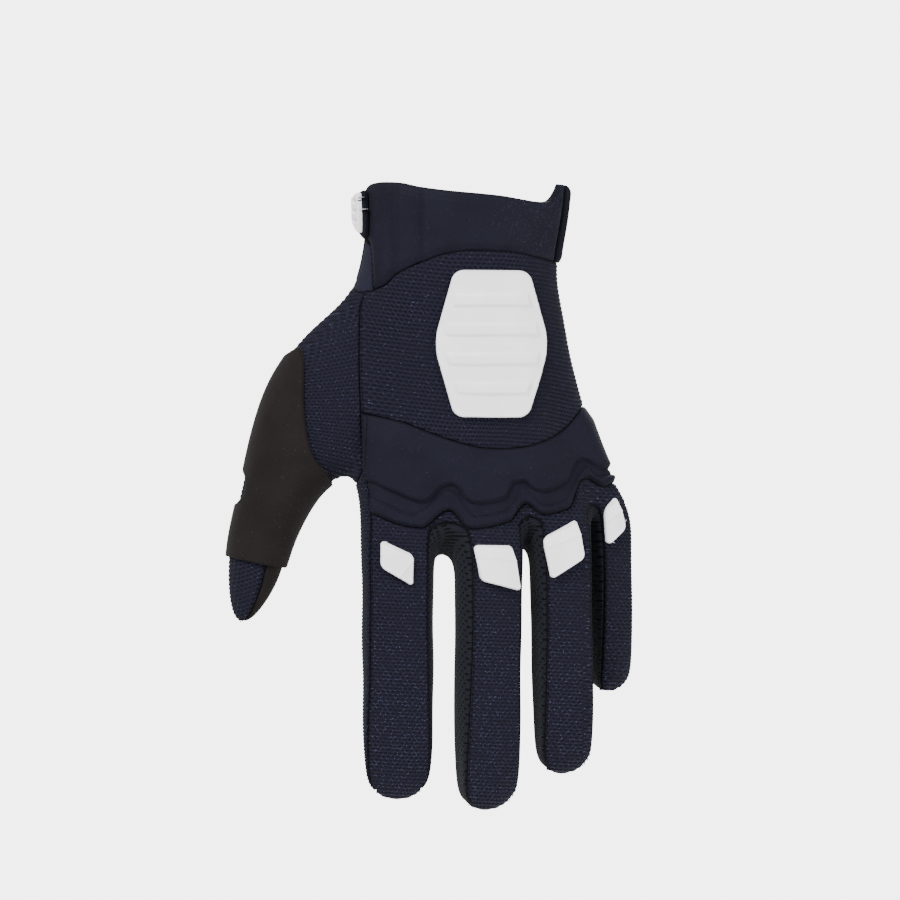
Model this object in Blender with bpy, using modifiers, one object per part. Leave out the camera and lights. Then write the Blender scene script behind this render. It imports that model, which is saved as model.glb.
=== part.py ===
"""A left-hand motocross glove, held up by its wrist with the fingers hanging down.

Metres, +Z up. The back of the hand faces -Y, the thumb is at -X, and the origin is the
centre of the cuff's mouth. One smooth hand surface is lofted from short tables of
sections. Seams cut it into panels, each panel gets its wall, and what is sewn or moulded
on top is lifted clear of the panels below it.
"""

import math
from collections import namedtuple

import bmesh
import bpy
from mathutils import Vector

MM = 0.001

# Hand form
CUFF_WIDTH = 71.5 * MM
CUFF_DEPTH = 50.0 * MM
CUFF_HEIGHT = 34.5 * MM
CUFF_RIM = 5.0 * MM
WRIST_WIDTH = 70.5 * MM
WRIST_DEPTH = 41.0 * MM
PALM_LENGTH = 82.0 * MM
PALM_DEPTH = 36.0 * MM
WEB_SLOPE = 13.0 * MM
INDEX_CENTRE_X = -25.2 * MM
INDEX_CENTRE_Y = -3.0 * MM

INDEX_WIDTH = 24.6 * MM
INDEX_DEPTH = 20.5 * MM
INDEX_LENGTH = 90.6 * MM
MIDDLE_WIDTH = 22.2 * MM
MIDDLE_DEPTH = 20.0 * MM
MIDDLE_LENGTH = 93.8 * MM
RING_WIDTH = 20.4 * MM
RING_DEPTH = 19.5 * MM
RING_LENGTH = 85.7 * MM
LITTLE_WIDTH = 15.5 * MM
LITTLE_DEPTH = 15.0 * MM
LITTLE_LENGTH = 61.5 * MM
INDEX_MIDDLE_GAP = 7.8 * MM
MIDDLE_RING_GAP = 4.1 * MM
RING_LITTLE_GAP = 2.5 * MM

THUMB_REACH = 48.0 * MM
THUMB_DROP = 114.0 * MM
THUMB_DEPTH = 27.0 * MM

# Walls and what is raised on them
KNIT_WALL = 1.4 * MM
MESH_WALL = 1.2 * MM
SUEDE_WALL = 1.2 * MM
NEOPRENE_WALL = 2.6 * MM
INSERT_WALL = 2.0 * MM
PAD_WALL = 1.6 * MM
PAD_RISE = 2.4 * MM
PAD_BAND_RISE = 1.3 * MM
PAD_RIM_RISE = 0.5 * MM
PAD_BAND = 4.5 * MM
PAD_STEP = 1.2 * MM
CUFF_RISE = 0.8 * MM
WELT_DEPTH = 0.9 * MM
WELT_HALF_WIDTH = 1.6 * MM
BINDING_RISE = 1.8 * MM
BINDING_WIDTH = 5.0 * MM
OVERLAY_WALL = 1.2 * MM
STRAP_WALL = 1.5 * MM
CLOSURE_WALL = 0.8 * MM
CLOSURE_MARGIN = 2.0 * MM
TAB_WALL = 1.6 * MM
GUARD_WALL = 1.6 * MM
GUARD_FACET = 0.7 * MM
BADGE_WALL = 1.3 * MM
BADGE_BAR_RISE = 0.8 * MM
BADGE_BAR_WIDTH = 4.2 * MM
BADGE_WIDTH = 39.0 * MM
BADGE_HEIGHT = 50.0 * MM
EDGE_LIFT = 0.4
SEAM_GAP = 0.3 * MM
LAYER_GAP = 0.35 * MM

# How far a cage of few points stands outside the round form that it makes
CAGE_SWELL = 1.07
THUMB_SWELL = 1.11
CORNER = 0.82
CREASE = 0.35
SNAP = 0.35 * MM
# Where each kind of seam may cut: down in cuff heights, in palm lengths, and out from the
# middle in cuff widths
CUFF_ZONE = 1.25
BACK_ZONE = 0.2
PAD_ZONE = (0.55, 1.2)
SIDE_ZONE = 0.25

Finger = namedtuple("Finger", "name width depth length gap bearing roll lean flex")
# gap and bearing lead from the finger before: bearing, roll, lean and flex are in degrees
FINGERS = (
    Finger("index", INDEX_WIDTH, INDEX_DEPTH, INDEX_LENGTH, 0.0, 0, 4, 0.0, 9),
    Finger("middle", MIDDLE_WIDTH, MIDDLE_DEPTH, MIDDLE_LENGTH, INDEX_MIDDLE_GAP, 2, 22, -0.5, 13),
    Finger("ring", RING_WIDTH, RING_DEPTH, RING_LENGTH, MIDDLE_RING_GAP, 14, 20, 1.0, 17),
    Finger("little", LITTLE_WIDTH, LITTLE_DEPTH, LITTLE_LENGTH, RING_LITTLE_GAP, 37, 38, 1.5, 22),
)
# Where the back seam of each crotch lies, as a share of the palm's length, from the thumb side
CROTCH_DROPS = (0.96, 1.0, 0.97, 0.91, 0.87)
# How far down a finger each ring lies, up to half a width from its tip, its size and how
# many degrees its seams lie from its side
FingerRing = namedtuple("FingerRing", "share width depth strip")
FINGER_RINGS = (
    FingerRing(0.20, 1.00, 1.00, 46),
    FingerRing(0.45, 0.985, 0.97, 46),
    FingerRing(0.72, 0.985, 0.97, 41),
    FingerRing(1.00, 0.94, 0.93, 32),
)
ROOT_STRIP = 45
TIP_STRIP = 24
TIP_RING_BACK = 0.15
TIP_RING_SIZE = 0.73
TIP_OVERSHOOT = 0.07

# The hand's own rings, wrist upwards and downwards: length down in cuff heights or palm
# lengths, sideways shift in wrist widths, and how far each has become the finger row
HandRing = namedtuple("HandRing", "cuffs palms width depth shift spread")
HAND_RINGS = (
    HandRing(0.0, 0.0, CUFF_WIDTH * 0.985, CUFF_DEPTH, -0.018, 0.0),
    HandRing(0.35, 0.0, CUFF_WIDTH * 0.941, CUFF_DEPTH * 0.96, -0.026, 0.0),
    HandRing(0.70, 0.0, CUFF_WIDTH * 0.941, CUFF_DEPTH * 0.90, -0.057, 0.0),
    HandRing(1.05, 0.0, WRIST_WIDTH, WRIST_DEPTH, -0.0745, 0.0),
    HandRing(1.0, 0.385, WRIST_WIDTH * 0.99, PALM_DEPTH * 1.10, -0.113, 0.35),
    HandRing(1.0, 0.765, WRIST_WIDTH * 0.99, PALM_DEPTH, -0.113, 0.72),
)
# Which of them the thumb leaves: its top, middle and low row
THUMB_ROWS = (3, 4, 5)
SIDE_ANGLE = 30

# The thumb's outer and inner outline, across in reaches from the palm's edge and down in
# drops from the wrist; its centre's and half depth in depths; roll in degrees
ThumbRing = namedtuple("ThumbRing", "out_x out_z in_x in_z centre_y half_y roll")
THUMB_RINGS = (
    ThumbRing(0.390, 0.124, 0.182, 0.569, 0.07, 0.575, 0),
    ThumbRing(0.628, 0.251, 0.261, 0.587, 0.11, 0.540, 0),
    ThumbRing(0.771, 0.409, 0.369, 0.636, 0.15, 0.500, 8),
    ThumbRing(0.836, 0.560, 0.462, 0.708, 0.17, 0.455, 16),
    ThumbRing(0.930, 0.717, 0.549, 0.793, 0.17, 0.410, 26),
    ThumbRing(0.973, 0.863, 0.620, 0.890, 0.15, 0.330, 36),
    ThumbRing(0.945, 0.972, 0.745, 0.976, 0.13, 0.210, 36),
)
THUMB_TIP = (0.88, 1.04, 0.11)

# Lines on the cuff, across from its middle in cuff widths: its lower seam down in cuff
# heights, and its top edge up in them
CUFF_SEAM = (
    (-0.585, 0.93), (-0.540, 1.03), (-0.485, 1.025), (-0.445, 0.995), (-0.408, 0.96), (-0.357, 0.86),
    (-0.265, 0.77), (-0.116, 0.666), (0.008, 0.637), (0.168, 0.646), (0.328, 0.695), (0.439, 0.74),
)
CUFF_SEAM_PALM = ((-0.585, 0.93), (0.439, 0.74))
CUFF_TOP = (
    (-0.536, -0.06), (-0.52, -0.01), (-0.487, 0.05), (-0.44, 0.06), (-0.367, 0.05), (-0.256, 0.0),
    (-0.116, -0.04), (0.14, -0.09), (0.357, -0.147), (0.380, -0.139), (0.400, -0.107), (0.425, -0.03),
    (0.445, 0.045), (0.47, 0.03),
)
CUFF_TOP_PALM = (
    (-0.536, -0.06), (-0.487, -0.02), (-0.256, -0.08), (0.0, -0.14), (0.30, -0.20), (0.40, -0.17),
    (0.43, -0.06), (0.445, 0.045), (0.47, 0.03),
)
WELTS = (-0.381, -0.256)
BINDING_START = -0.10
# The seam of the piece beside the thumb, down in heights and across in widths
INSERT_EDGE = ((-0.20, -0.483), (1.30, -0.466))
# The strap and its tab, seen from the side: back to front in cuff depths, top and foot in heights
STRAP_EDGES = ((-0.15, -0.01, -0.52), (0.0, -0.04, -0.40), (0.12, -0.06, -0.44), (0.30, -0.10, -0.66))
TAB_EDGES = ((-0.13, -0.03, -0.46), (0.0, -0.09, -0.30), (0.08, -0.13, -0.22))
STRAP_START = -0.15
STRAP_FINISH = 0.24
TAB_FINISH = 0.08
CLOSURE_START = -0.06
CLOSURE_FINISH = 0.36

# Seams on the back, across from the index in knuckle spans and down in palm lengths
PAD_TOP_SEAM = (
    (-0.20, 0.515), (0.014, 0.555), (0.163, 0.605), (0.311, 0.647), (0.410, 0.665), (0.507, 0.669),
    (0.607, 0.660), (0.705, 0.634), (0.804, 0.579), (0.882, 0.496), (0.96, 0.400),
)
PAD_LOW_SEAM = (
    (-0.20, 0.905), (0.023, 0.989), (0.106, 1.001), (0.243, 0.925), (0.347, 1.003), (0.531, 0.972),
    (0.608, 0.898), (0.690, 0.944), (0.820, 0.914), (0.874, 0.801), (0.902, 0.794), (0.985, 0.830),
    (1.028, 0.812),
)

# The leather patch over the thumb, in thumb reaches and drops
PATCH_RIGHT = (
    (0.18, 0.426), (0.227, 0.405), (0.333, 0.408), (0.424, 0.390), (0.484, 0.360), (0.530, 0.304),
    (0.554, 0.240), (0.600, 0.225),
)
PATCH_LEFT = (
    (0.45, 1.3), (0.499, 0.836), (0.549, 0.836), (0.575, 0.815), (0.611, 0.822), (0.641, 0.866),
    (0.656, 0.927), (0.670, 1.3),
)
PATCH_FOOT = ((0.563, 0.839), (0.674, 0.832), (0.807, 0.820), (0.944, 0.808))
PATCH_HEAD = ((0.42, 0.178), (0.45, 0.182), (0.57, 0.215), (0.64, 0.24))
PATCH_DEPTH = 0.26

# A finger guard's corners, along the finger's side direction in widths and down in lengths,
# and how far in front of the finger's middle it stays, in depths
GUARD_FRONT = 0.125
GUARD_CORNERS = {
    "index": ((-0.250, -0.011), (0.186, 0.046), (0.190, 0.167), (-0.257, 0.092)),
    "middle": ((-0.400, 0.004), (0.200, 0.007), (0.330, 0.173), (-0.310, 0.134)),
    "ring": ((-0.430, 0.016), (0.110, -0.054), (0.240, 0.101), (-0.320, 0.187)),
    "little": ((-0.430, -0.061), (-0.120, -0.137), (0.080, 0.047), (-0.350, 0.144)),
}
# The plain six-sided plate on the back: its centre in knuckle spans and palm lengths, its
# corners and raised bars in its own widths and heights
BADGE_CENTRE = (0.442, 0.231)
BADGE_OUTLINE = ((-0.32, 0.5), (0.32, 0.5), (0.5, 0.0), (0.32, -0.5), (-0.32, -0.5), (-0.5, 0.0))
BADGE_BARS = (0.30, 0.10, -0.10, -0.30)

KNIT = ("navy_knit", (0.020, 0.021, 0.045), 0.85)
MESH = ("black_mesh", (0.010, 0.011, 0.018), 0.85)
SUEDE = ("brown_black_suede", (0.030, 0.024, 0.025), 0.95)
NEOPRENE = ("navy_neoprene", (0.015, 0.016, 0.034), 0.70)
RUBBER = ("white_rubber", (0.72, 0.70, 0.74), 0.45)
WEBBING = ("black_webbing", (0.012, 0.012, 0.020), 0.80)

# Which part of the hand a cage face belongs to
BACK, FRONT, LEFT_SIDE, THUMB_SHEATH, THUMB_PALM, THUMB_KNIT, THUMB_SUEDE = range(7)
FINGER_BACK, FINGER_FRONT, FINGER_SIDE = 10, 20, 30
REGION_COUNT = FINGER_SIDE + 5


def through(points, x):
    """The height at x of the straight runs through the points."""
    if x <= points[0][0]:
        return points[0][1]
    for (x0, y0), (x1, y1) in zip(points, points[1:]):
        if x <= x1:
            return y0 + (y1 - y0) * (x - x0) / (x1 - x0)
    return points[-1][1]


def down(palms):
    """Height of a point this share of the palm's length below the wrist."""
    return -CUFF_HEIGHT - palms * PALM_LENGTH


def scaled(points, x0, dx, z_of):
    """A table of shares as points in metres."""
    return [(x0 + a * dx, z_of(b)) for a, b in points]


def finger_roots():
    """Centre, side direction and back direction of each finger where it leaves the palm."""
    roots = []
    x, y = INDEX_CENTRE_X, INDEX_CENTRE_Y
    for i, finger in enumerate(FINGERS):
        if i:
            step = (FINGERS[i - 1].width + finger.width) / 2 + finger.gap
            turn = math.radians(finger.bearing)
            x += step * math.cos(turn)
            y += step * math.sin(turn)
        roll = math.radians(finger.roll)
        side = Vector((math.cos(roll), math.sin(roll), 0))
        back = Vector((math.sin(roll), -math.cos(roll), 0))
        roots.append((Vector((x, y, 0)), side, back))
    return roots


ROOTS = finger_roots()
KNUCKLE_SPAN = ROOTS[-1][0].x - ROOTS[0][0].x
PALM_EDGE_X = ROOTS[0][0].x - INDEX_WIDTH / 2


def around(strip):
    """Eight points round a finger from its thumb side over its back, in half widths and depths."""
    turn = math.radians(strip)
    reach = 1 + (CORNER * math.sqrt(2) - 1) * math.sin(2 * turn)
    u, v = reach * math.cos(turn), reach * math.sin(turn)
    side, top = 1 + (CORNER - u) / 2, 1 + (CORNER - v) / 2
    return ((-side, 0), (-u, v), (0, top), (u, v), (side, 0), (u, -v), (0, -top), (-u, -v))


def finger_ring(centre, side, back, width, depth, strip):
    a, b = width / 2 * CAGE_SWELL, depth / 2 * CAGE_SWELL
    return [centre + side * (u * a) + back * (v * b) for u, v in around(strip)]


def root_ring(i):
    """A finger's first ring: its back starts at the crotch's seam, its front lower."""
    finger = FINGERS[i]
    centre, side, back = ROOTS[i]
    ring = finger_ring(centre, side, back, finger.width, finger.depth, ROOT_STRIP)
    left, right = CROTCH_DROPS[i], CROTCH_DROPS[i + 1]
    for point, (u, v) in zip(ring, around(ROOT_STRIP)):
        drop = left + (right - left) * (u + 1) / 2
        front = (1 - max(-1, min(1, v / CORNER))) / 2
        point.z = down(drop) - WEB_SLOPE * front
    return ring


def finger_top(i):
    """Height from which a finger's length is measured."""
    return down((CROTCH_DROPS[i] + CROTCH_DROPS[i + 1]) / 2) - WEB_SLOPE / 2


def finger_rings(i):
    """The rings below a finger's root, and its tip point."""
    finger = FINGERS[i]
    root, side, _ = ROOTS[i]
    top = finger_top(i)
    straight = finger.length - finger.width / 2
    stations = [(ring.share * straight, ring.width, ring.depth, ring.strip) for ring in FINGER_RINGS]
    stations.append((finger.length - finger.width * TIP_RING_BACK, TIP_RING_SIZE, TIP_RING_SIZE, TIP_STRIP))
    stations.append((finger.length + finger.width * TIP_OVERSHOOT, 0, 0, TIP_STRIP))
    rings = []
    lean = math.tan(math.radians(finger.lean))
    for length, width, depth, strip in stations:
        bend = math.radians(finger.flex) * length / finger.length
        centre = Vector((
            root.x + lean * length,
            root.y + length * math.sin(bend / 2),
            top - length * math.cos(bend / 2),
        ))
        axis = Vector((lean, math.sin(bend), -math.cos(bend))).normalized()
        across = (side - axis * side.dot(axis)).normalized()
        outward = axis.cross(across)
        size = finger.width * width, finger.depth * depth
        rings.append(finger_ring(centre, across, outward, *size, strip))
    return rings


def hand_columns():
    """(finger, point of its ring) of each of the 26 points round the palm, thumb side first."""
    backs = [(i, k) for i in range(4) for k in (1, 2, 3)]
    fronts = [(i, k) for i in reversed(range(4)) for k in (5, 6, 7)]
    return [(0, 0)] + backs + [(3, 4)] + fronts


def hand_ring(ring, last):
    """One ring of the hand: an oval that grows into the row of finger roots."""
    columns = hand_columns()
    half = len(columns) // 2
    step = (180 - 2 * SIDE_ANGLE) / (half - 2)
    points = []
    for k, root_point in enumerate(last):
        turn = k % half
        angle = 0 if turn == 0 else SIDE_ANGLE + (turn - 1) * step
        angle = math.radians(180 + angle + (180 if k >= half else 0))
        swell = (3 - math.cos(math.radians(SIDE_ANGLE))) / 2 if turn == 0 else 1
        oval_x = ring.shift * WRIST_WIDTH + ring.width / 2 * math.cos(angle) * swell
        oval_y = ring.depth / 2 * math.sin(angle)
        z = CUFF_RIM if ring.cuffs == 0 else -ring.cuffs * CUFF_HEIGHT
        points.append(Vector((
            oval_x + (root_point.x - oval_x) * ring.spread,
            oval_y + (root_point.y - oval_y) * ring.spread,
            z - ring.palms * PALM_LENGTH,
        )))
    return points


def thumb_point(across, drop):
    return Vector((PALM_EDGE_X - across * THUMB_REACH, 0, -CUFF_HEIGHT - drop * THUMB_DROP))


def thumb_ring(ring):
    """Eight points round the thumb, from its outer edge over the back to its inner edge."""
    outer, inner = thumb_point(ring.out_x, ring.out_z), thumb_point(ring.in_x, ring.in_z)
    centre = (outer + inner) / 2
    across = (outer - inner) / 2 * THUMB_SWELL
    centre.y = ring.centre_y * THUMB_DEPTH
    back = Vector((0, -ring.half_y * THUMB_DEPTH * THUMB_SWELL, 0))
    roll = math.radians(ring.roll)
    return [
        centre + across * math.cos(k * math.pi / 4 + roll * math.sin(k * math.pi / 4) ** 2)
        + back * math.sin(k * math.pi / 4 + roll * math.sin(k * math.pi / 4) ** 2)
        for k in range(8)
    ]


def hand_cage():
    """The coarse cage of the whole hand. Each face's material index says where it belongs."""
    bm = bmesh.new()
    crease = bm.edges.layers.float.new("crease_edge")

    def ring_of(points):
        return [bm.verts.new(p) for p in points]

    def face(corners, region):
        bm.faces.new(corners).material_index = region

    def band(upper, lower, regions):
        count = len(upper)
        for k, region in enumerate(regions):
            if region is not None:
                face((upper[k], lower[k], lower[(k + 1) % count], upper[(k + 1) % count]), region)

    def cap(ring, tip, regions):
        for k, region in zip((0, 2, 4, 6), regions):
            face((ring[k], tip, ring[(k + 2) % 8], ring[k + 1]), region)

    roots = [ring_of(root_ring(i)) for i in range(4)]
    last = [roots[i][k] for i, k in hand_columns()]
    rows = [ring_of(hand_ring(ring, [v.co for v in last])) for ring in HAND_RINGS] + [last]
    top_row, mid_row, low_row = THUMB_ROWS
    bm.verts.remove(rows[mid_row][0])
    for r in range(len(rows) - 1):
        if r < top_row:
            sides = THUMB_SHEATH, THUMB_PALM
        elif r < low_row:
            sides = None, None
        else:
            sides = LEFT_SIDE, LEFT_SIDE
        regions = [sides[0]] + [BACK] * 12 + [FRONT] * 12 + [sides[1]]
        band(rows[r], rows[r + 1], regions)

    for i, finger in enumerate(FINGERS):
        sides = FINGER_SIDE + i, FINGER_SIDE + i + 1
        regions = [sides[0], FINGER_BACK + i, FINGER_BACK + i, sides[1],
                   sides[1], FINGER_FRONT + i, FINGER_FRONT + i, sides[0]]
        upper = roots[i]
        *rings, tip = finger_rings(i)
        for points in rings:
            lower = ring_of(points)
            band(upper, lower, regions)
            for k in (1, 3):
                edge = bm.edges.get((upper[k], lower[k]))
                edge[crease] = CREASE
            upper = lower
        tip_vert = bm.verts.new(sum(tip, Vector()) / 8)
        cap(upper, tip_vert, (FINGER_BACK + i, FINGER_BACK + i, FINGER_FRONT + i, FINGER_FRONT + i))
        if i < 3:
            a, b = roots[i], roots[i + 1]
            face((a[3], a[4], b[0], b[1]), sides[1])
            face((a[4], a[5], b[7], b[0]), sides[1])

    top, mid, low = rows[top_row], rows[mid_row], rows[low_row]
    upper = [top[0], top[1], mid[1], low[1], low[0], low[-1], mid[-1], top[-1]]
    for number, ring in enumerate(THUMB_RINGS):
        lower = ring_of(thumb_ring(ring))
        if number < 2:
            regions = [THUMB_SHEATH] * 4 + [THUMB_PALM] * 4
        else:
            regions = [THUMB_KNIT] * 2 + [THUMB_SUEDE] * 4 + [THUMB_KNIT] * 2
        count = len(upper)
        for k, region in enumerate(regions):
            face((upper[(k + 1) % count], upper[k], lower[k], lower[(k + 1) % count]), region)
        upper = lower
    tip = thumb_point(THUMB_TIP[0], THUMB_TIP[1])
    tip.y = THUMB_TIP[2] * THUMB_DEPTH
    tip_vert = bm.verts.new(tip)
    for k, region in zip((0, 2, 4, 6), (THUMB_KNIT, THUMB_SUEDE, THUMB_SUEDE, THUMB_KNIT)):
        face((upper[k], upper[k + 1], upper[(k + 2) % 8], tip_vert)[::-1], region)
    bmesh.ops.recalc_face_normals(bm, faces=bm.faces)
    mesh = bpy.data.meshes.new("hand_cage")
    bm.to_mesh(mesh)
    bm.free()
    return mesh


def smooth_hand(levels):
    """The cage with Subdivision Surface, as a bmesh."""
    cage = bpy.data.objects.new("hand_cage", hand_cage())
    bpy.context.scene.collection.objects.link(cage)
    for _ in range(REGION_COUNT):
        cage.data.materials.append(None)
    smooth = cage.modifiers.new("smooth", "SUBSURF")
    smooth.levels = smooth.render_levels = levels
    bpy.context.view_layer.update()
    graph = bpy.context.evaluated_depsgraph_get()
    bm = bmesh.new()
    bm.from_object(cage, graph)
    bpy.data.objects.remove(cage)
    return bm


def cut_along(bm, inside, field):
    """Splits the faces that inside accepts where field is zero, so that a seam can run there."""
    faces = [f for f in bm.faces if inside(f)]
    value = {v: field(v.co) for f in faces for v in f.verts}
    seam = {v for v, d in value.items() if abs(d) < SNAP}
    for edge in {e for f in faces for e in f.edges}:
        a, b = edge.verts
        if a in seam or b in seam or value[a] * value[b] >= 0:
            continue
        _, new = bmesh.utils.edge_split(edge, a, value[a] / (value[a] - value[b]))
        seam.add(new)
    bmesh.ops.connect_verts(bm, verts=list(seam))


def middle(face):
    return face.calc_center_median()


def is_region(*regions):
    return lambda face: face.material_index in regions


PALM_REGIONS = is_region(BACK, LEFT_SIDE, FRONT, THUMB_SHEATH, THUMB_PALM)
LOWER_BACK = is_region(BACK, LEFT_SIDE, *(FINGER_BACK + i for i in range(4)))
THUMB_REGIONS = is_region(THUMB_SHEATH, THUMB_PALM, THUMB_KNIT, THUMB_SUEDE)


def on_back(point):
    return point.y < 0


def cuff_seam_z(point):
    seam = CUFF_SEAM if on_back(point) else CUFF_SEAM_PALM
    return through(scaled(seam, 0, CUFF_WIDTH, lambda share: -share * CUFF_HEIGHT), point.x)


def cuff_top_z(point):
    top = CUFF_TOP if on_back(point) else CUFF_TOP_PALM
    return through(scaled(top, 0, CUFF_WIDTH, lambda share: share * CUFF_HEIGHT), point.x)


def back_curve_z(points, x):
    return through(scaled(points, ROOTS[0][0].x, KNUCKLE_SPAN, down), x)


def insert_edge_x(z):
    table = [(share * CUFF_HEIGHT, across * CUFF_WIDTH) for share, across in INSERT_EDGE]
    return through(table, -z)


def pad_distance(point):
    """Height of a point above the pad's zigzag foot."""
    return point.z - back_curve_z(PAD_LOW_SEAM, point.x)


def cut_seams(bm):
    """Cuts the seam lines that divide the palm, back and cuff."""
    def near_cuff(face):
        return PALM_REGIONS(face) and middle(face).z > -CUFF_HEIGHT * CUFF_ZONE

    def thumb_back(face):
        return near_cuff(face) and on_back(middle(face)) and middle(face).x < -CUFF_WIDTH * SIDE_ZONE

    def little_edge(face):
        return near_cuff(face) and middle(face).x > CUFF_WIDTH * SIDE_ZONE

    def board(face):
        return near_cuff(face) and on_back(middle(face)) and panel_of(face) == "cuff_back"

    def whole_back(face):
        return face.material_index == BACK and middle(face).z < down(BACK_ZONE)

    def near_pad(face):
        return LOWER_BACK(face) and down(PAD_ZONE[1]) < middle(face).z < down(PAD_ZONE[0])

    cut_along(bm, near_cuff, lambda p: p.z - cuff_top_z(p))
    spare = [f for f in bm.faces if near_cuff(f) and middle(f).z > cuff_top_z(middle(f))]
    bmesh.ops.delete(bm, geom=spare, context="FACES")
    cut_along(bm, near_cuff, lambda p: p.z - cuff_seam_z(p))
    cut_along(bm, thumb_back, lambda p: p.x - insert_edge_x(p.z))
    cut_along(bm, little_edge, binding_way)
    cut_along(bm, little_edge, lambda p: binding_way(p) - BINDING_WIDTH)
    for welt in WELTS:
        for shift in (-WELT_HALF_WIDTH, 0, WELT_HALF_WIDTH):
            cut_along(bm, board, lambda p, x=welt * CUFF_WIDTH + shift: p.x - x)
    cut_along(bm, whole_back, lambda p: p.z - back_curve_z(PAD_TOP_SEAM, p.x))
    for across, _ in PAD_LOW_SEAM[1:-1]:
        cut_along(bm, near_pad, lambda p, a=across: p.x - ROOTS[0][0].x - a * KNUCKLE_SPAN)
    for rise in (0, PAD_BAND, 2 * PAD_BAND, 2 * PAD_BAND + PAD_STEP):
        cut_along(bm, near_pad, lambda p, r=rise: pad_distance(p) - r)


def binding_way(point):
    """How far round a point lies from the binding's back edge, at the little finger's side."""
    return point.y - BINDING_START * CUFF_DEPTH


def panel_of(face):
    """The name of the panel that a face of the hand belongs to."""
    region, p = face.material_index, middle(face)
    if PALM_REGIONS(face) and p.z > cuff_seam_z(p):
        if p.x > CUFF_WIDTH * SIDE_ZONE and 0 < binding_way(p) < BINDING_WIDTH:
            return "cuff_binding"
        if on_back(p) and p.x > insert_edge_x(p.z):
            return "cuff_back"
        if on_back(p):
            return "cuff_insert"
        return "cuff_front"
    if region == LEFT_SIDE:
        return "index_side"
    if region == BACK and p.z > back_curve_z(PAD_TOP_SEAM, p.x):
        return "back_panel"
    if region == BACK and pad_distance(p) > 0:
        return "knuckle_pad"
    if region == BACK or FINGER_BACK <= region < FINGER_BACK + 4:
        return "finger_backs"
    if region in (FRONT, THUMB_PALM) or FINGER_FRONT <= region < FINGER_FRONT + 4:
        return "palm"
    named = {
        FINGER_SIDE: "index_side", FINGER_SIDE + 1: "sidewall_index_middle",
        FINGER_SIDE + 2: "sidewall_middle_ring", FINGER_SIDE + 3: "sidewall_ring_little",
        FINGER_SIDE + 4: "little_side", THUMB_SHEATH: "thumb_gusset",
        THUMB_KNIT: "thumb_back", THUMB_SUEDE: "thumb_front",
    }
    return named[region]


def pad_rise(point):
    """The pad stands up in two steps from its zigzag foot."""
    steps = (
        (0, 0.0), (PAD_BAND, PAD_RIM_RISE), (2 * PAD_BAND, PAD_BAND_RISE),
        (2 * PAD_BAND + PAD_STEP, PAD_RISE),
    )
    below_seam = back_curve_z(PAD_TOP_SEAM, point.x) - point.z
    from_top = through(((0, PAD_BAND_RISE), (PAD_BAND, PAD_RISE)), below_seam)
    return min(through(steps, pad_distance(point)), max(PAD_BAND_RISE, from_top))


def cuff_rise(point):
    """The cuff's soft board stands proud, with two grooves down it."""
    groove = min(abs(point.x - welt * CUFF_WIDTH) for welt in WELTS)
    return CUFF_RISE - WELT_DEPTH * max(0.0, 1 - groove / WELT_HALF_WIDTH)


def inward_steps(faces):
    """For each vertex on the border of the faces, the way in across the surface."""
    chosen = set(faces)
    steps = {}
    for face in faces:
        for loop in face.loops:
            if any(other in chosen for other in loop.edge.link_faces if other is not face):
                continue
            a, b = loop.vert, loop.link_loop_next.vert
            inward = face.normal.cross(b.co - a.co).normalized()
            for v in (a, b):
                steps.setdefault(v, []).append(inward)
    moves = {}
    for v, ways in steps.items():
        if len(ways) != 2:
            print("pinched border at", tuple(round(c / MM, 1) for c in v.co), len(ways))
        total = sum(ways, Vector())
        total -= v.normal * total.dot(v.normal)
        size = total.length
        moves[v] = total / size * min(2.0, 2.0 / max(size, 0.5)) if size > 1e-6 else Vector()
    return moves


def wall(name, faces, low, high, material, edge_lift=1.0):
    """A closed solid that follows the faces, from low to high along their normals.

    edge_lift is the share of its rise that the border keeps, where a thick panel is sewn down.
    """
    moves = inward_steps(faces)
    bm = bmesh.new()
    outer, inner = {}, {}
    for v in {v for f in faces for v in f.verts}:
        spot = v.co + moves.get(v, Vector()) * (SEAM_GAP / 2)
        rise = high(v.co) * (edge_lift if v in moves else 1)
        outer[v] = bm.verts.new(spot + v.normal * rise)
        inner[v] = bm.verts.new(spot + v.normal * low(v.co))
    chosen = set(faces)
    for face in faces:
        bm.faces.new([outer[v] for v in face.verts])
        bm.faces.new([inner[v] for v in reversed(face.verts)])
        for loop in face.loops:
            if any(other in chosen for other in loop.edge.link_faces if other is not face):
                continue
            a, b = loop.vert, loop.link_loop_next.vert
            bm.faces.new((outer[b], outer[a], inner[a], inner[b]))
    mesh = bpy.data.meshes.new(name)
    bm.to_mesh(mesh)
    bm.free()
    mesh.materials.append(material)
    mesh.shade_smooth()
    mesh.set_sharp_from_angle(angle=math.radians(40))
    piece = bpy.data.objects.new(name, mesh)
    GLOVE.objects.link(piece)
    return piece


def patch_faces(surface, inside, fields):
    """The faces of a copy of the surface inside an outline, where every field is above zero."""
    bm = surface.copy()
    for field in fields:
        cut_along(bm, inside, field)
    bm.normal_update()
    return bm, [f for f in bm.faces if inside(f) and all(field(middle(f)) > 0 for field in fields)]


def half_plane(a, b):
    """A field above zero to the right of the line from a to b, both (x, z)."""
    ax, az, dx, dz = a[0], a[1], b[0] - a[0], b[1] - a[1]
    size = math.hypot(dx, dz)
    return lambda p: ((p.x - ax) * dz - (p.z - az) * dx) / size


def outline_fields(corners):
    """Fields for the sides of an outline whose corners run clockwise as seen from the front."""
    return [half_plane(a, b) for a, b in zip(corners, corners[1:] + corners[:1])]


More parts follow.
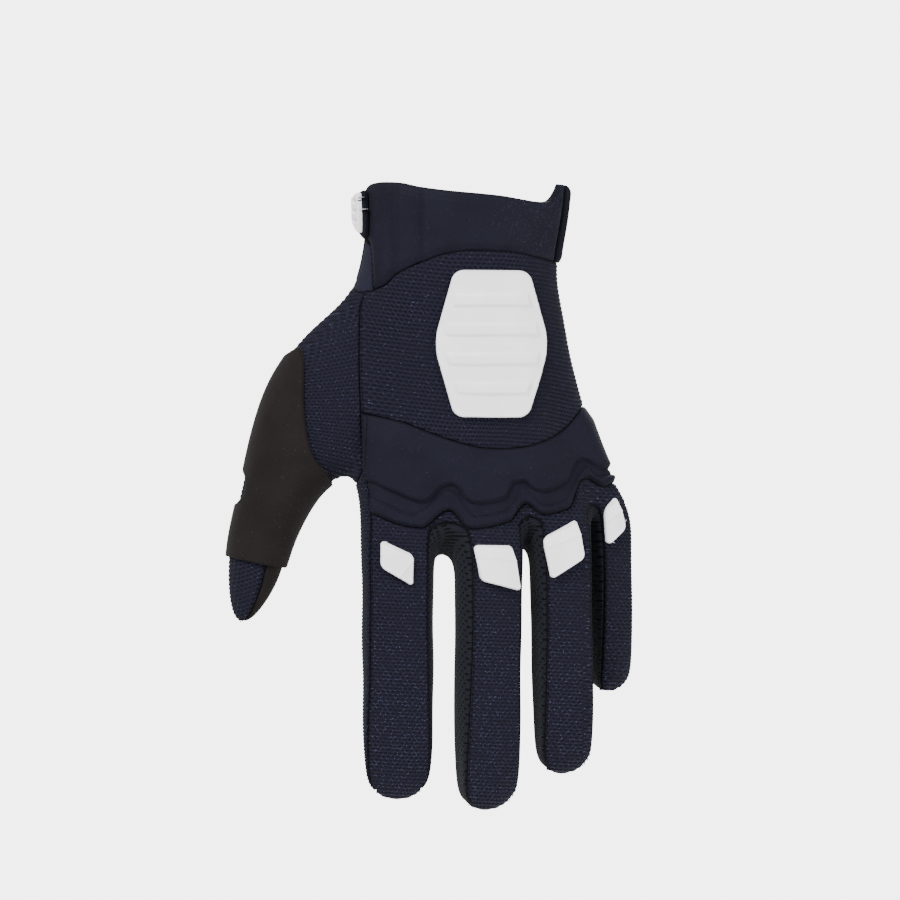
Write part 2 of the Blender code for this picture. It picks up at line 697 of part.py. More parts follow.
def make_panels(surface, finish):
    """Every panel of the hand's own surface."""
    def flat(_):
        return 0.0

    def even(depth):
        return lambda _: -depth

    panels = {
        "cuff_back": (even(NEOPRENE_WALL), cuff_rise, NEOPRENE),
        "cuff_front": (even(NEOPRENE_WALL), flat, NEOPRENE),
        "cuff_insert": (even(INSERT_WALL), flat, NEOPRENE),
        "cuff_binding": (even(NEOPRENE_WALL), lambda _: BINDING_RISE, WEBBING),
        "back_panel": (even(KNIT_WALL), flat, KNIT),
        "knuckle_pad": (even(PAD_WALL), pad_rise, NEOPRENE),
        "finger_backs": (even(KNIT_WALL), flat, KNIT),
        "palm": (even(SUEDE_WALL), flat, SUEDE),
        "sidewall_index_middle": (even(MESH_WALL), flat, MESH),
        "sidewall_middle_ring": (even(MESH_WALL), flat, MESH),
        "sidewall_ring_little": (even(MESH_WALL), flat, MESH),
        "index_side": (even(KNIT_WALL), flat, KNIT),
        "little_side": (even(KNIT_WALL), flat, KNIT),
        "thumb_gusset": (even(KNIT_WALL), flat, KNIT),
        "thumb_back": (even(KNIT_WALL), flat, KNIT),
        "thumb_front": (even(SUEDE_WALL), flat, SUEDE),
    }
    faces = {}
    for face in surface.faces:
        faces.setdefault(panel_of(face), []).append(face)
    for name, (low, high, material) in panels.items():
        lift = EDGE_LIFT if material is NEOPRENE else 1
        wall(name, faces[name], low, high, finish[material[0]], lift)


def thumb_share(point):
    """A point's place in thumb reaches and drops."""
    return (PALM_EDGE_X - point.x) / THUMB_REACH, (-CUFF_HEIGHT - point.z) / THUMB_DROP


def patch_right(point):
    reach, drop = thumb_share(point)
    return (reach - through(PATCH_RIGHT, drop)) * THUMB_REACH


def patch_left(point):
    reach, drop = thumb_share(point)
    return (through(PATCH_LEFT, drop) - reach) * THUMB_REACH


def patch_foot(point):
    reach, drop = thumb_share(point)
    return (through(PATCH_FOOT, reach) - drop) * THUMB_DROP


def patch_head(point):
    reach, drop = thumb_share(point)
    return (drop - through(PATCH_HEAD, reach)) * THUMB_DROP


def patch_round(point):
    return PATCH_DEPTH * THUMB_DEPTH - point.y


def make_thumb_patch(surface, finish):
    fields = patch_right, patch_foot, patch_head, patch_left, patch_round
    bm, faces = patch_faces(surface, THUMB_REGIONS, fields)
    wall("thumb_patch", faces, lambda _: LAYER_GAP, lambda _: LAYER_GAP + OVERLAY_WALL, finish[SUEDE[0]])
    bm.free()


def guard_rise(crease, height):
    """A guard's height over the knit: below its crease it slopes away."""
    def rise(point):
        facet = max(0.0, min(1.0, (point.z - crease) / height + 1))
        return LAYER_GAP + GUARD_WALL + GUARD_FACET * facet
    return rise


def own_sides(i, field):
    """The field, read across the finger's own side direction instead of straight across."""
    root, side, _ = ROOTS[i]
    return lambda p: field(Vector(((p - root).dot(side), 0, p.z)))


def on_finger_back(i):
    """A field above zero on the back of the finger."""
    root, _, back = ROOTS[i]
    return lambda p: (p - root).dot(back) - FINGERS[i].depth * GUARD_FRONT


def make_guards(surface, finish):
    for i, finger in enumerate(FINGERS):
        top = finger_top(i)
        corners = [
            (across * finger.width, top - drop * finger.length)
            for across, drop in GUARD_CORNERS[finger.name]
        ]
        fields = [own_sides(i, field) for field in outline_fields(corners)] + [on_finger_back(i)]
        bm, faces = patch_faces(surface, is_region(FINGER_BACK + i, BACK), fields)
        crease = sum(z for _, z in corners) / 4
        height = corners[0][1] - corners[3][1]
        wall(
            f"guard_{finger.name}", faces, lambda _: LAYER_GAP, guard_rise(crease, height),
            finish[RUBBER[0]])
        bm.free()


def badge_rise(centre_z):
    """The plate's height over the knit, with its raised bars."""
    def rise(point):
        nearest = min(abs(point.z - centre_z - bar * BADGE_HEIGHT) for bar in BADGE_BARS)
        slope = (BADGE_BAR_WIDTH / 2 - nearest) / BADGE_BAR_RISE
        return LAYER_GAP + BADGE_WALL + BADGE_BAR_RISE * max(0.0, min(1.0, slope))
    return rise


def is_inside(fields):
    """Accepts the back's faces where every field is above zero."""
    return lambda face: face.material_index == BACK and all(field(middle(face)) > 0 for field in fields)


def make_badge(surface, finish):
    """A plain barred plate of rubber on the back of the hand."""
    x = ROOTS[0][0].x + BADGE_CENTRE[0] * KNUCKLE_SPAN
    z = down(BADGE_CENTRE[1])
    corners = [(x + u * BADGE_WIDTH, z + v * BADGE_HEIGHT) for u, v in BADGE_OUTLINE]
    fields = outline_fields(corners)
    bm, faces = patch_faces(surface, is_region(BACK), fields)
    for bar in BADGE_BARS:
        for half in (BADGE_BAR_WIDTH / 2, BADGE_BAR_WIDTH / 2 - BADGE_BAR_RISE):
            for side in (-half, half):
                level = z + bar * BADGE_HEIGHT + side
                cut_along(bm, is_inside(fields), lambda p, at=level: p.z - at)
    bm.normal_update()
    faces = [f for f in bm.faces if is_inside(fields)(f)]
    wall("back_plate", faces, lambda _: LAYER_GAP, badge_rise(z), finish[RUBBER[0]])
    bm.free()


def band_fields(edges, start, finish, margin=0.0):
    """Fields of a band round the palm side of the cuff, from the thumb's side to the other."""
    tops = [(share * CUFF_DEPTH, top * CUFF_HEIGHT) for share, top, _ in edges]
    feet = [(share * CUFF_DEPTH, foot * CUFF_HEIGHT) for share, _, foot in edges]

    def below_top(p):
        return through(tops, p.y) - p.z - margin

    def above_foot(p):
        return p.z - through(feet, p.y) - margin

    def past_start(p):
        return p.y - (start if p.x < 0 else finish) * CUFF_DEPTH - margin

    return below_top, above_foot, past_start


def thumb_side(finish):
    """A band that stays on the thumb's side of the cuff, as far round as finish."""
    return lambda p: finish * CUFF_DEPTH - p.y


def make_strap(surface, finish):
    """The closing strap round the palm side, the pad it grips and the tab on its end."""
    def near(face):
        return PALM_REGIONS(face) and middle(face).z > -CUFF_HEIGHT

    def thumb_half(face):
        return near(face) and middle(face).x < 0

    strap = band_fields(STRAP_EDGES, STRAP_START, STRAP_FINISH)
    closure = band_fields(STRAP_EDGES, CLOSURE_START, STRAP_FINISH, CLOSURE_MARGIN)
    closure = *closure, thumb_side(CLOSURE_FINISH)
    tab = band_fields(TAB_EDGES, TAB_EDGES[0][0], STRAP_FINISH)
    tab = *tab, thumb_side(TAB_FINISH)
    strap_base = LAYER_GAP + CLOSURE_WALL + LAYER_GAP
    tab_base = strap_base + STRAP_WALL + LAYER_GAP
    pieces = (
        ("wrist_strap", near, strap, strap_base, STRAP_WALL, WEBBING),
        ("closure_pad", thumb_half, closure, LAYER_GAP, CLOSURE_WALL, WEBBING),
        ("strap_tab", thumb_half, tab, tab_base, TAB_WALL, RUBBER),
    )
    for name, inside, fields, base, thickness, material in pieces:
        bm, faces = patch_faces(surface, inside, fields)
        wall(
            name, faces, lambda _, low=base: low, lambda _, high=base + thickness: high,
            finish[material[0]])
        bm.free()


def finishes():
    made = {}
    for name, colour, roughness in (KNIT, MESH, SUEDE, NEOPRENE, RUBBER, WEBBING):
        material = bpy.data.materials.new(name)
        material.use_nodes = True
        shader = material.node_tree.nodes["Principled BSDF"]
        shader.inputs["Base Color"].default_value = (*colour, 1)
        shader.inputs["Roughness"].default_value = roughness
        material.diffuse_color = (*colour, 1)
        made[name] = material
    return made


for old in list(bpy.data.objects):
    bpy.data.objects.remove(old)
GLOVE = bpy.data.collections.new("motocross_glove")
bpy.context.scene.collection.children.link(GLOVE)
FINISH = finishes()
HAND = smooth_hand(1)
cut_seams(HAND)
HAND.normal_update()
make_panels(HAND, FINISH)
make_thumb_patch(HAND, FINISH)
make_guards(HAND, FINISH)
make_badge(HAND, FINISH)
make_strap(HAND, FINISH)
HAND.free()
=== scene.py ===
"""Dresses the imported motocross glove: ribbed cloth, moulded foam, suede, rubber and stitching.

Metres, +Z up, the back of the hand faces -Y and the thumb is at -X. One fine hand surface
is lofted from the glove's own sections. Its seams cut it into cloth panels with rolled
edges, and what is sewn or moulded on top lies clear of the panels below.
"""

import math
from collections import namedtuple

import bmesh
import bpy
import numpy as np
from bpy.props import FloatProperty, FloatVectorProperty, PointerProperty
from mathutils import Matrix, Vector
from mathutils.kdtree import KDTree


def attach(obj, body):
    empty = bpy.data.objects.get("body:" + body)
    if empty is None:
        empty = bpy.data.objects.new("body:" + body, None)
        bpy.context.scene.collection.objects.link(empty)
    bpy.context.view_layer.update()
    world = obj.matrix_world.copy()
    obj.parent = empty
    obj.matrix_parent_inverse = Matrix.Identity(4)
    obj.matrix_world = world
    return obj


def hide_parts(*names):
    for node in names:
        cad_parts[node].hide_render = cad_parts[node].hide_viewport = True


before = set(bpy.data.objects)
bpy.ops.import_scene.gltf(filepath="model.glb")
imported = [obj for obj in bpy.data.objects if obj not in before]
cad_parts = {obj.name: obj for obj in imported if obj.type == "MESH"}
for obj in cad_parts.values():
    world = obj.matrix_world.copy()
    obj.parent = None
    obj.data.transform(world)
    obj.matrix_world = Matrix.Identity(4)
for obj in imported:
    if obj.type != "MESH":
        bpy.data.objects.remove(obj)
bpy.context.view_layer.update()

bl_info = {
    "name": "Motocross Glove",
    "version": (1, 0, 0),
    "blender": (4, 5, 0),
    "location": "3D View > Sidebar > Glove",
    "description": "Dresses the glove in its cloth, foam, suede, rubber and stitches",
    "category": "Object",
}

MM = 0.001

# Hand form, as the construction has it
CUFF_WIDTH = 71.5 * MM
CUFF_DEPTH = 50.0 * MM
CUFF_HEIGHT = 34.5 * MM
CUFF_RIM = 5.0 * MM
WRIST_WIDTH = 70.5 * MM
WRIST_DEPTH = 41.0 * MM
PALM_LENGTH = 82.0 * MM
PALM_DEPTH = 36.0 * MM
WEB_SLOPE = 13.0 * MM
INDEX_CENTRE_X = -25.2 * MM
INDEX_CENTRE_Y = -3.0 * MM
THUMB_REACH = 48.0 * MM
THUMB_DROP = 114.0 * MM
THUMB_DEPTH = 27.0 * MM

# Walls
KNIT_WALL = 1.4 * MM
MESH_WALL = 1.2 * MM
SUEDE_WALL = 1.2 * MM
NEOPRENE_WALL = 2.6 * MM
INSERT_WALL = 2.0 * MM
PAD_WALL = 1.6 * MM
OVERLAY_WALL = 1.2 * MM
STRAP_WALL = 1.5 * MM
CLOSURE_WALL = 0.8 * MM
CLOSURE_MARGIN = 2.0 * MM
TAB_WALL = 1.6 * MM
GUARD_WALL = 1.9 * MM
PLATE_WALL = 1.3 * MM
LAYER_GAP = 0.35 * MM
SEAM_GAP = 0.16 * MM
SNAP = 0.03 * MM

# Relief
CUFF_RISE = 0.9 * MM
CUFF_ROLL = 3.2 * MM
CUFF_HEM = 2.8 * MM
GROOVE = 0.45 * MM
WELT_WIDTH = 2.6 * MM
BINDING_RISE = 1.8 * MM
BINDING_WIDTH = 5.0 * MM
PAD_EDGE = 0.5 * MM
PAD_RIM = 1.5 * MM
PAD_BAND_DROP = 0.8 * MM
PAD_TOP = 1.5 * MM
PAD_ROLL = 4.5 * MM
PLATE_WIDTH = 39.0 * MM
PLATE_HEIGHT = 50.0 * MM
PLATE_BAR_RISE = 0.8 * MM
PLATE_BAR_WIDTH = 4.2 * MM
PLATE_CORNER = 3.0 * MM
GUARD_CORNER = 1.6 * MM
GUARD_BEAD = 0.36 * MM
GUARD_FALL = 0.36
TAB_RIDGE = 0.74 * MM
TAB_RELIEF = 0.35 * MM
UNEVEN = 0.16 * MM

# How far a cage of few points stands outside the round form that it makes
CAGE_SWELL = 1.07
THUMB_SWELL = 1.11
CORNER = 0.82
CREASE = 0.35

Finger = namedtuple("Finger", "name width depth length gap bearing roll lean flex")
# Widths, depths, lengths and gaps in millimetres; gap and bearing lead from the finger
# before; bearing, roll, lean and flex are in degrees
FINGERS = tuple(
    Finger(name, width * MM, depth * MM, length * MM, gap * MM, *turns)
    for name, width, depth, length, gap, *turns in (
        ("index", 24.6, 20.5, 90.6, 0.0, 0, 4, 0.0, 9),
        ("middle", 22.2, 20.0, 93.8, 7.8, 2, 22, -0.5, 13),
        ("ring", 20.4, 19.5, 85.7, 4.1, 14, 20, 1.0, 17),
        ("little", 15.5, 15.0, 61.5, 2.5, 37, 38, 1.5, 22),
    ))
# Where the back seam of each crotch lies, as a share of the palm's length
CROTCH_DROPS = (0.96, 1.0, 0.97, 0.91, 0.87)
FingerRing = namedtuple("FingerRing", "share width depth strip")
FINGER_RINGS = (
    FingerRing(0.20, 1.00, 1.00, 46),
    FingerRing(0.45, 0.985, 0.97, 46),
    FingerRing(0.72, 0.985, 0.97, 41),
    FingerRing(1.00, 0.94, 0.93, 32),
)
ROOT_STRIP = 45
TIP_STRIP = 24
TIP_RING_BACK = 0.15
TIP_RING_SIZE = 0.73
TIP_OVERSHOOT = 0.07

# The hand's rings: down in cuff heights and palm lengths, shift in wrist widths, and how
# far each has become the finger row
HandRing = namedtuple("HandRing", "cuffs palms width depth shift spread")
HAND_RINGS = (
    HandRing(0.0, 0.0, CUFF_WIDTH * 0.985, CUFF_DEPTH, -0.018, 0.0),
    HandRing(0.35, 0.0, CUFF_WIDTH * 0.941, CUFF_DEPTH * 0.96, -0.026, 0.0),
    HandRing(0.70, 0.0, CUFF_WIDTH * 0.941, CUFF_DEPTH * 0.90, -0.057, 0.0),
    HandRing(1.05, 0.0, WRIST_WIDTH, WRIST_DEPTH, -0.0745, 0.0),
    HandRing(1.0, 0.385, WRIST_WIDTH * 0.99, PALM_DEPTH * 1.10, -0.113, 0.35),
    HandRing(1.0, 0.765, WRIST_WIDTH * 0.99, PALM_DEPTH, -0.113, 0.72),
)
THUMB_TOP_RING, THUMB_MID_RING, THUMB_LOW_RING = 3, 4, 5
SIDE_ANGLE = 30

# The thumb's outer and inner outline, across in reaches from the palm's edge and down in
# drops from the wrist; its centre's and half depth in depths; roll in degrees
ThumbRing = namedtuple("ThumbRing", "out_x out_z in_x in_z centre_y half_y roll")
THUMB_RINGS = (
    ThumbRing(0.390, 0.124, 0.182, 0.569, 0.07, 0.575, 0),
    ThumbRing(0.628, 0.251, 0.261, 0.587, 0.11, 0.540, 0),
    ThumbRing(0.771, 0.409, 0.369, 0.636, 0.15, 0.500, 8),
    ThumbRing(0.836, 0.560, 0.462, 0.708, 0.17, 0.455, 16),
    ThumbRing(0.930, 0.717, 0.549, 0.793, 0.17, 0.410, 26),
    ThumbRing(0.973, 0.863, 0.620, 0.890, 0.15, 0.330, 36),
    ThumbRing(0.945, 0.972, 0.745, 0.976, 0.13, 0.210, 36),
)
THUMB_TIP = (0.88, 1.04, 0.11)

# Lines on the cuff, across from its middle in widths: its lower seam down in heights, and
# its top edge up in them
CUFF_SEAM = (
    (-0.585, 0.93), (-0.540, 1.03), (-0.485, 1.025), (-0.445, 0.995), (-0.408, 0.96), (-0.357, 0.86),
    (-0.265, 0.77), (-0.116, 0.666), (0.008, 0.637), (0.168, 0.646), (0.328, 0.695), (0.439, 0.74),
)
CUFF_SEAM_PALM = ((-0.585, 0.93), (0.439, 0.74))
CUFF_TOP = (
    (-0.536, -0.06), (-0.52, -0.01), (-0.487, 0.05), (-0.44, 0.06), (-0.367, 0.05), (-0.256, 0.0),
    (-0.116, -0.04), (0.14, -0.09), (0.357, -0.147), (0.380, -0.139), (0.400, -0.107), (0.425, -0.03),
    (0.445, 0.045), (0.47, 0.03),
)
CUFF_TOP_PALM = (
    (-0.536, -0.06), (-0.487, -0.02), (-0.256, -0.08), (0.0, -0.14), (0.30, -0.20), (0.40, -0.17),
    (0.43, -0.06), (0.445, 0.045), (0.47, 0.03),
)
WELTS = (-0.381, -0.256)
BINDING_START = -0.10
INSERT_EDGE = ((-0.20, -0.60), (0.44, -0.60), (0.47, -0.52), (0.55, -0.486), (0.62, -0.480), (1.30, -0.466))
# The strap and its tab, from the side: back to front in cuff depths, top and foot in heights
STRAP_EDGES = ((-0.15, -0.01, -0.52), (0.0, -0.04, -0.40), (0.12, -0.06, -0.44), (0.30, -0.10, -0.66))
TAB_EDGES = ((-0.13, -0.03, -0.46), (0.0, -0.09, -0.30), (0.08, -0.13, -0.22))
STRAP_START = -0.15
STRAP_FINISH = 0.24
TAB_FINISH = 0.08
CLOSURE_START = -0.06
CLOSURE_FINISH = 0.36
TAB_SLOTS_END = -0.045

# Seams on the back, across from the index in knuckle spans and down in palm lengths
PAD_TOP_SEAM = (
    (-0.20, 0.515), (0.014, 0.555), (0.163, 0.605), (0.311, 0.647), (0.410, 0.665), (0.507, 0.669),
    (0.607, 0.660), (0.705, 0.634), (0.804, 0.579), (0.882, 0.496), (0.96, 0.400),
)
PAD_LOW_SEAM = (
    (-0.20, 0.905), (0.023, 0.989), (0.106, 1.001), (0.243, 0.925), (0.347, 1.003), (0.531, 0.972),
    (0.608, 0.898), (0.690, 0.944), (0.820, 0.914), (0.874, 0.801), (0.902, 0.794), (0.985, 0.830),
    (1.028, 0.812),
)
# The grooves above and below the pad's sunk band
BAND_TOP = (
    (-0.200, 0.80), (-0.148, 0.801), (-0.053, 0.838), (0.061, 0.881), (0.111, 0.892), (0.149, 0.881),
    (0.221, 0.825), (0.252, 0.818), (0.287, 0.834), (0.320, 0.878), (0.366, 0.898), (0.499, 0.877),
    (0.554, 0.809), (0.593, 0.803), (0.648, 0.839), (0.682, 0.847), (0.798, 0.805), (0.841, 0.727),
    (0.870, 0.715), (0.947, 0.745), (1.03, 0.76),
)
BAND_FOOT = (
    (-0.200, 0.80), (-0.148, 0.801), (-0.130, 0.868), (-0.053, 0.905), (0.077, 0.949), (0.119, 0.932),
    (0.214, 0.855), (0.244, 0.844), (0.275, 0.858), (0.363, 0.955), (0.488, 0.938), (0.536, 0.917),
    (0.597, 0.828), (0.623, 0.854), (0.700, 0.910), (0.798, 0.888), (0.853, 0.783), (0.896, 0.742),
    (0.947, 0.787), (1.03, 0.78),
)
# How much higher the ribs of the back lie, across in knuckle spans and in palm lengths
RIB_BEND = (
    (-0.20, -0.055), (0.05, -0.025), (0.25, -0.006), (0.50, 0.0), (0.70, 0.012), (0.85, 0.040),
    (0.95, 0.045), (1.05, 0.030),
)

# The suede patch over the thumb, in thumb reaches and drops
PATCH_RIGHT = (
    (0.18, 0.426), (0.227, 0.405), (0.333, 0.408), (0.424, 0.390), (0.484, 0.360), (0.530, 0.304),
    (0.554, 0.240), (0.600, 0.225),
)
PATCH_LEFT = (
    (0.45, 1.3), (0.499, 0.836), (0.549, 0.836), (0.575, 0.815), (0.611, 0.822), (0.641, 0.866),
    (0.656, 0.927), (0.670, 1.3),
)
PATCH_FOOT = ((0.563, 0.839), (0.674, 0.832), (0.807, 0.820), (0.944, 0.808))
PATCH_HEAD = ((0.42, 0.178), (0.45, 0.182), (0.57, 0.215), (0.64, 0.24))
PATCH_DEPTH = 0.26

# A finger guard's corners, and its crease with the side that slopes away from it, along
# the finger's side direction in widths and down in lengths
GUARD_CORNERS = {
    "index": ((-0.250, -0.011), (0.186, 0.046), (0.190, 0.167), (-0.257, 0.092)),
    "middle": ((-0.400, 0.004), (0.200, 0.007), (0.330, 0.173), (-0.310, 0.134)),
    "ring": ((-0.430, 0.016), (0.110, -0.054), (0.240, 0.101), (-0.320, 0.187)),
    "little": ((-0.430, -0.061), (-0.120, -0.137), (0.080, 0.047), (-0.350, 0.144)),
}
GUARD_CREASES = {
    "index": ((0.187, 0.064), (-0.011, 0.133)),
    "middle": ((-0.370, 0.047), (0.243, 0.062)),
    "ring": ((-0.400, 0.059), (0.161, 0.006)),
    "little": ((-0.402, 0.011), (-0.030, -0.054)),
}
GUARD_FRONT = 0.125
PLATE_CENTRE = (0.442, 0.231)
PLATE_OUTLINE = ((-0.32, 0.5), (0.32, 0.5), (0.5, 0.0), (0.32, -0.5), (-0.32, -0.5), (-0.5, 0.0))
PLATE_BARS = (0.30, 0.10, -0.10, -0.30)

# Which part of the hand a cage face belongs to
BACK, FRONT, LEFT_SIDE, THUMB_SHEATH, THUMB_PALM, THUMB_KNIT, THUMB_SUEDE = range(7)
FINGER_BACK, FINGER_FRONT, FINGER_SIDE = 10, 20, 30
REGION_COUNT = FINGER_SIDE + 5
PALM_REGIONS = (BACK, LEFT_SIDE, FRONT, THUMB_SHEATH, THUMB_PALM)
LOWER_BACK = (BACK, LEFT_SIDE, *(FINGER_BACK + i for i in range(4)))
THUMB_REGIONS = (THUMB_SHEATH, THUMB_PALM, THUMB_KNIT, THUMB_SUEDE)
CUFF_ZONE = 1.25
PAD_ZONE = (0.45, 1.2)
SIDE_ZONE = 0.25

# Fineness of the surface: its levels, and the longest edges of what carries relief
LEVELS = 4
PLAIN_LEVELS = 3
RELIEF_EDGE = 0.56 * MM
SMALL_EDGE = 0.26 * MM
RIB_EDGE = 0.40 * MM

WEAVE = "weave"
RIM = "rim"
OUTER = "outer"


def setting(name, text, default, highest, unit="LENGTH"):
    return FloatProperty(
        name=name, description=text, default=default, min=0.0, max=highest, unit=unit, precision=5)


def colour(name, text, default):
    return FloatVectorProperty(
        name=name, description=text, default=default, min=0.0, max=1.0, size=3, subtype="COLOR")


class GloveSizes(bpy.types.PropertyGroup):
    """Sizes of the cloth, the seams and the thread."""
    rib_pitch: setting("Rib pitch", "Height of one rib of the knit", 1.4 * MM, 5 * MM)
    rib_rise: setting("Rib rise", "How far a rib stands up", 0.24 * MM, 1 * MM)
    rib_wave: setting("Rib wave", "Length of one wave along a rib", 1.5 * MM, 5 * MM)
    finger_pitch: setting("Finger rib pitch", "Height of one rib on the fingers", 1.25 * MM, 5 * MM)
    hole_pitch: setting("Hole pitch", "From hole to hole in the mesh", 1.5 * MM, 5 * MM)
    seam_depth: setting("Seam depth", "How deep a panel's edge is drawn in", 0.55 * MM, 2 * MM)
    seam_width: setting("Seam width", "How far in a panel's edge is rolled", 1.3 * MM, 5 * MM)
    stitch_length: setting("Stitch length", "Length of one stitch", 1.35 * MM, 5 * MM)
    stitch_pitch: setting("Stitch pitch", "From stitch to stitch", 1.9 * MM, 8 * MM)
    thread: setting("Thread", "Thickness of the thread", 0.34 * MM, 1 * MM)


class GloveColours(bpy.types.PropertyGroup):
    """Colours of the glove's materials."""
    knit: colour("Knit", "The ribbed cloth", (0.0064, 0.0063, 0.0128))
    fleck: colour("Flecks", "Bright threads in the ribbed cloth", (0.060, 0.068, 0.125))
    mesh: colour("Mesh", "The cloth between the fingers", (0.0052, 0.0055, 0.0085))
    neoprene: colour("Neoprene", "The knuckle guard and the cuff", (0.0050, 0.0050, 0.0105))
    insert: colour("Insert", "The cuff's piece beside the thumb", (0.0090, 0.0092, 0.0180))
    suede: colour("Suede", "Palm and thumb", (0.0105, 0.0082, 0.0084))
    webbing: colour("Webbing", "Strap and edge binding", (0.0044, 0.0047, 0.0088))
    rubber: colour("Rubber", "Guards, plate and tab", (0.80, 0.78, 0.82))
    thread: colour("Thread", "The stitches", (0.0016, 0.0016, 0.0026))


def sizes():
    return bpy.context.scene.glove_sizes


def colours():
    return bpy.context.scene.glove_colours


# Curves and places

def through(points, x):
    """The height at x of the straight runs through the points."""
    return np.interp(x, [a for a, _ in points], [b for _, b in points])


def rounded_curve(points, steps=8):
    """The points with a smooth curve between them, which never swings past them."""
    xs, ys = (np.array(column, float) for column in zip(*points))
    slopes = np.diff(ys) / np.diff(xs)
    bends = np.zeros_like(xs)
    same = slopes[1:] * slopes[:-1] > 0
    bends[1:-1][same] = 2 / (1 / slopes[1:][same] + 1 / slopes[:-1][same])
    bends[0], bends[-1] = slopes[0], slopes[-1]
    made = []
    for k, slope in enumerate(slopes):
        width = xs[k + 1] - xs[k]
        for t in np.arange(steps) / steps:
            rise = 3 * slope - 2 * bends[k] - bends[k + 1]
            turn = bends[k] + bends[k + 1] - 2 * slope
            made.append((xs[k] + t * width, ys[k] + width * (bends[k] * t + rise * t**2 + turn * t**3)))
    return tuple(made) + (points[-1],)


def step_up(x, low, high):
    """Smoothly from 0 at low to 1 at high."""
    t = np.clip((x - low) / (high - low), 0, 1)
    return t * t * (3 - 2 * t)


def ridge(x, width):
    """1 on the line, and next to nothing a width away from it."""
    return np.exp(-(x / (0.55 * width)) ** 2)


def down(palms):
    """Height of a point this share of the palm's length below the wrist."""
    return -CUFF_HEIGHT - palms * PALM_LENGTH


def finger_roots():
    """Centre, side direction and back direction of each finger where it leaves the palm."""
    roots = []
    x, y = INDEX_CENTRE_X, INDEX_CENTRE_Y
    for i, finger in enumerate(FINGERS):
        if i:
            step = (FINGERS[i - 1].width + finger.width) / 2 + finger.gap
            turn = math.radians(finger.bearing)
            x += step * math.cos(turn)
            y += step * math.sin(turn)
        roll = math.radians(finger.roll)
        side = Vector((math.cos(roll), math.sin(roll), 0))
        back = Vector((math.sin(roll), -math.cos(roll), 0))
        roots.append((Vector((x, y, 0)), side, back))
    return roots


ROOTS = finger_roots()
KNUCKLE_SPAN = ROOTS[-1][0].x - ROOTS[0][0].x
PALM_EDGE_X = ROOTS[0][0].x - FINGERS[0].width / 2


def back_line(points):
    """A line on the back of the hand, from spans and palm lengths to metres."""
    return [(ROOTS[0][0].x + a * KNUCKLE_SPAN, down(b)) for a, b in points]


PAD_TOP_LINE = back_line(rounded_curve(PAD_TOP_SEAM))
PAD_FOOT_LINE = back_line(rounded_curve(PAD_LOW_SEAM, 6))
BAND_TOP_LINE = back_line(rounded_curve(BAND_TOP, 6))
BAND_FOOT_LINE = back_line(rounded_curve(BAND_FOOT, 6))
RIB_LINE = [(x, z - down(0)) for x, z in back_line(RIB_BEND)]
CUFF_SEAM_LINE = [(a * CUFF_WIDTH, -b * CUFF_HEIGHT) for a, b in rounded_curve(CUFF_SEAM)]
CUFF_TOP_LINE = [(a * CUFF_WIDTH, b * CUFF_HEIGHT) for a, b in rounded_curve(CUFF_TOP)]
CUFF_TOP_PALM_LINE = [(a * CUFF_WIDTH, b * CUFF_HEIGHT) for a, b in rounded_curve(CUFF_TOP_PALM)]
CUFF_SEAM_PALM_LINE = [(a * CUFF_WIDTH, -b * CUFF_HEIGHT) for a, b in CUFF_SEAM_PALM]
INSERT_LINE = [(a * CUFF_HEIGHT, b * CUFF_WIDTH) for a, b in INSERT_EDGE]


# The hand surface

def around(strip):
    """Eight points round a finger from its thumb side over its back, in half widths and depths."""
    turn = math.radians(strip)
    reach = 1 + (CORNER * math.sqrt(2) - 1) * math.sin(2 * turn)
    u, v = reach * math.cos(turn), reach * math.sin(turn)
    side, top = 1 + (CORNER - u) / 2, 1 + (CORNER - v) / 2
    return ((-side, 0), (-u, v), (0, top), (u, v), (side, 0), (u, -v), (0, -top), (-u, -v))


def finger_ring(centre, side, back, width, depth, strip):
    a, b = width / 2 * CAGE_SWELL, depth / 2 * CAGE_SWELL
    return [centre + side * (u * a) + back * (v * b) for u, v in around(strip)]


def root_ring(i):
    """A finger's first ring: its back starts at the crotch's seam, its front lower."""
    finger = FINGERS[i]
    centre, side, back = ROOTS[i]
    ring = finger_ring(centre, side, back, finger.width, finger.depth, ROOT_STRIP)
    left, right = CROTCH_DROPS[i], CROTCH_DROPS[i + 1]
    for point, (u, v) in zip(ring, around(ROOT_STRIP)):
        drop = left + (right - left) * (u + 1) / 2
        front = (1 - max(-1, min(1, v / CORNER))) / 2
        point.z = down(drop) - WEB_SLOPE * front
    return ring


def finger_top(i):
    """Height from which a finger's length is measured."""
    return down((CROTCH_DROPS[i] + CROTCH_DROPS[i + 1]) / 2) - WEB_SLOPE / 2


def finger_rings(i):
    """The rings below a finger's root, and its tip."""
    finger = FINGERS[i]
    root, side, _ = ROOTS[i]
    top = finger_top(i)
    straight = finger.length - finger.width / 2
    stations = [(ring.share * straight, ring.width, ring.depth, ring.strip) for ring in FINGER_RINGS]
    tip_ring = finger.length - finger.width * TIP_RING_BACK
    stations.append((tip_ring, TIP_RING_SIZE, TIP_RING_SIZE, TIP_STRIP))
    stations.append((finger.length + finger.width * TIP_OVERSHOOT, 0, 0, TIP_STRIP))
    rings = []
    lean = math.tan(math.radians(finger.lean))
    for length, width, depth, strip in stations:
        bend = math.radians(finger.flex) * length / finger.length
        centre = Vector((
            root.x + lean * length,
            root.y + length * math.sin(bend / 2),
            top - length * math.cos(bend / 2),
        ))
        axis = Vector((lean, math.sin(bend), -math.cos(bend))).normalized()
        across = (side - axis * side.dot(axis)).normalized()
        outward = axis.cross(across)
        size = finger.width * width, finger.depth * depth
        rings.append(finger_ring(centre, across, outward, *size, strip))
    return rings


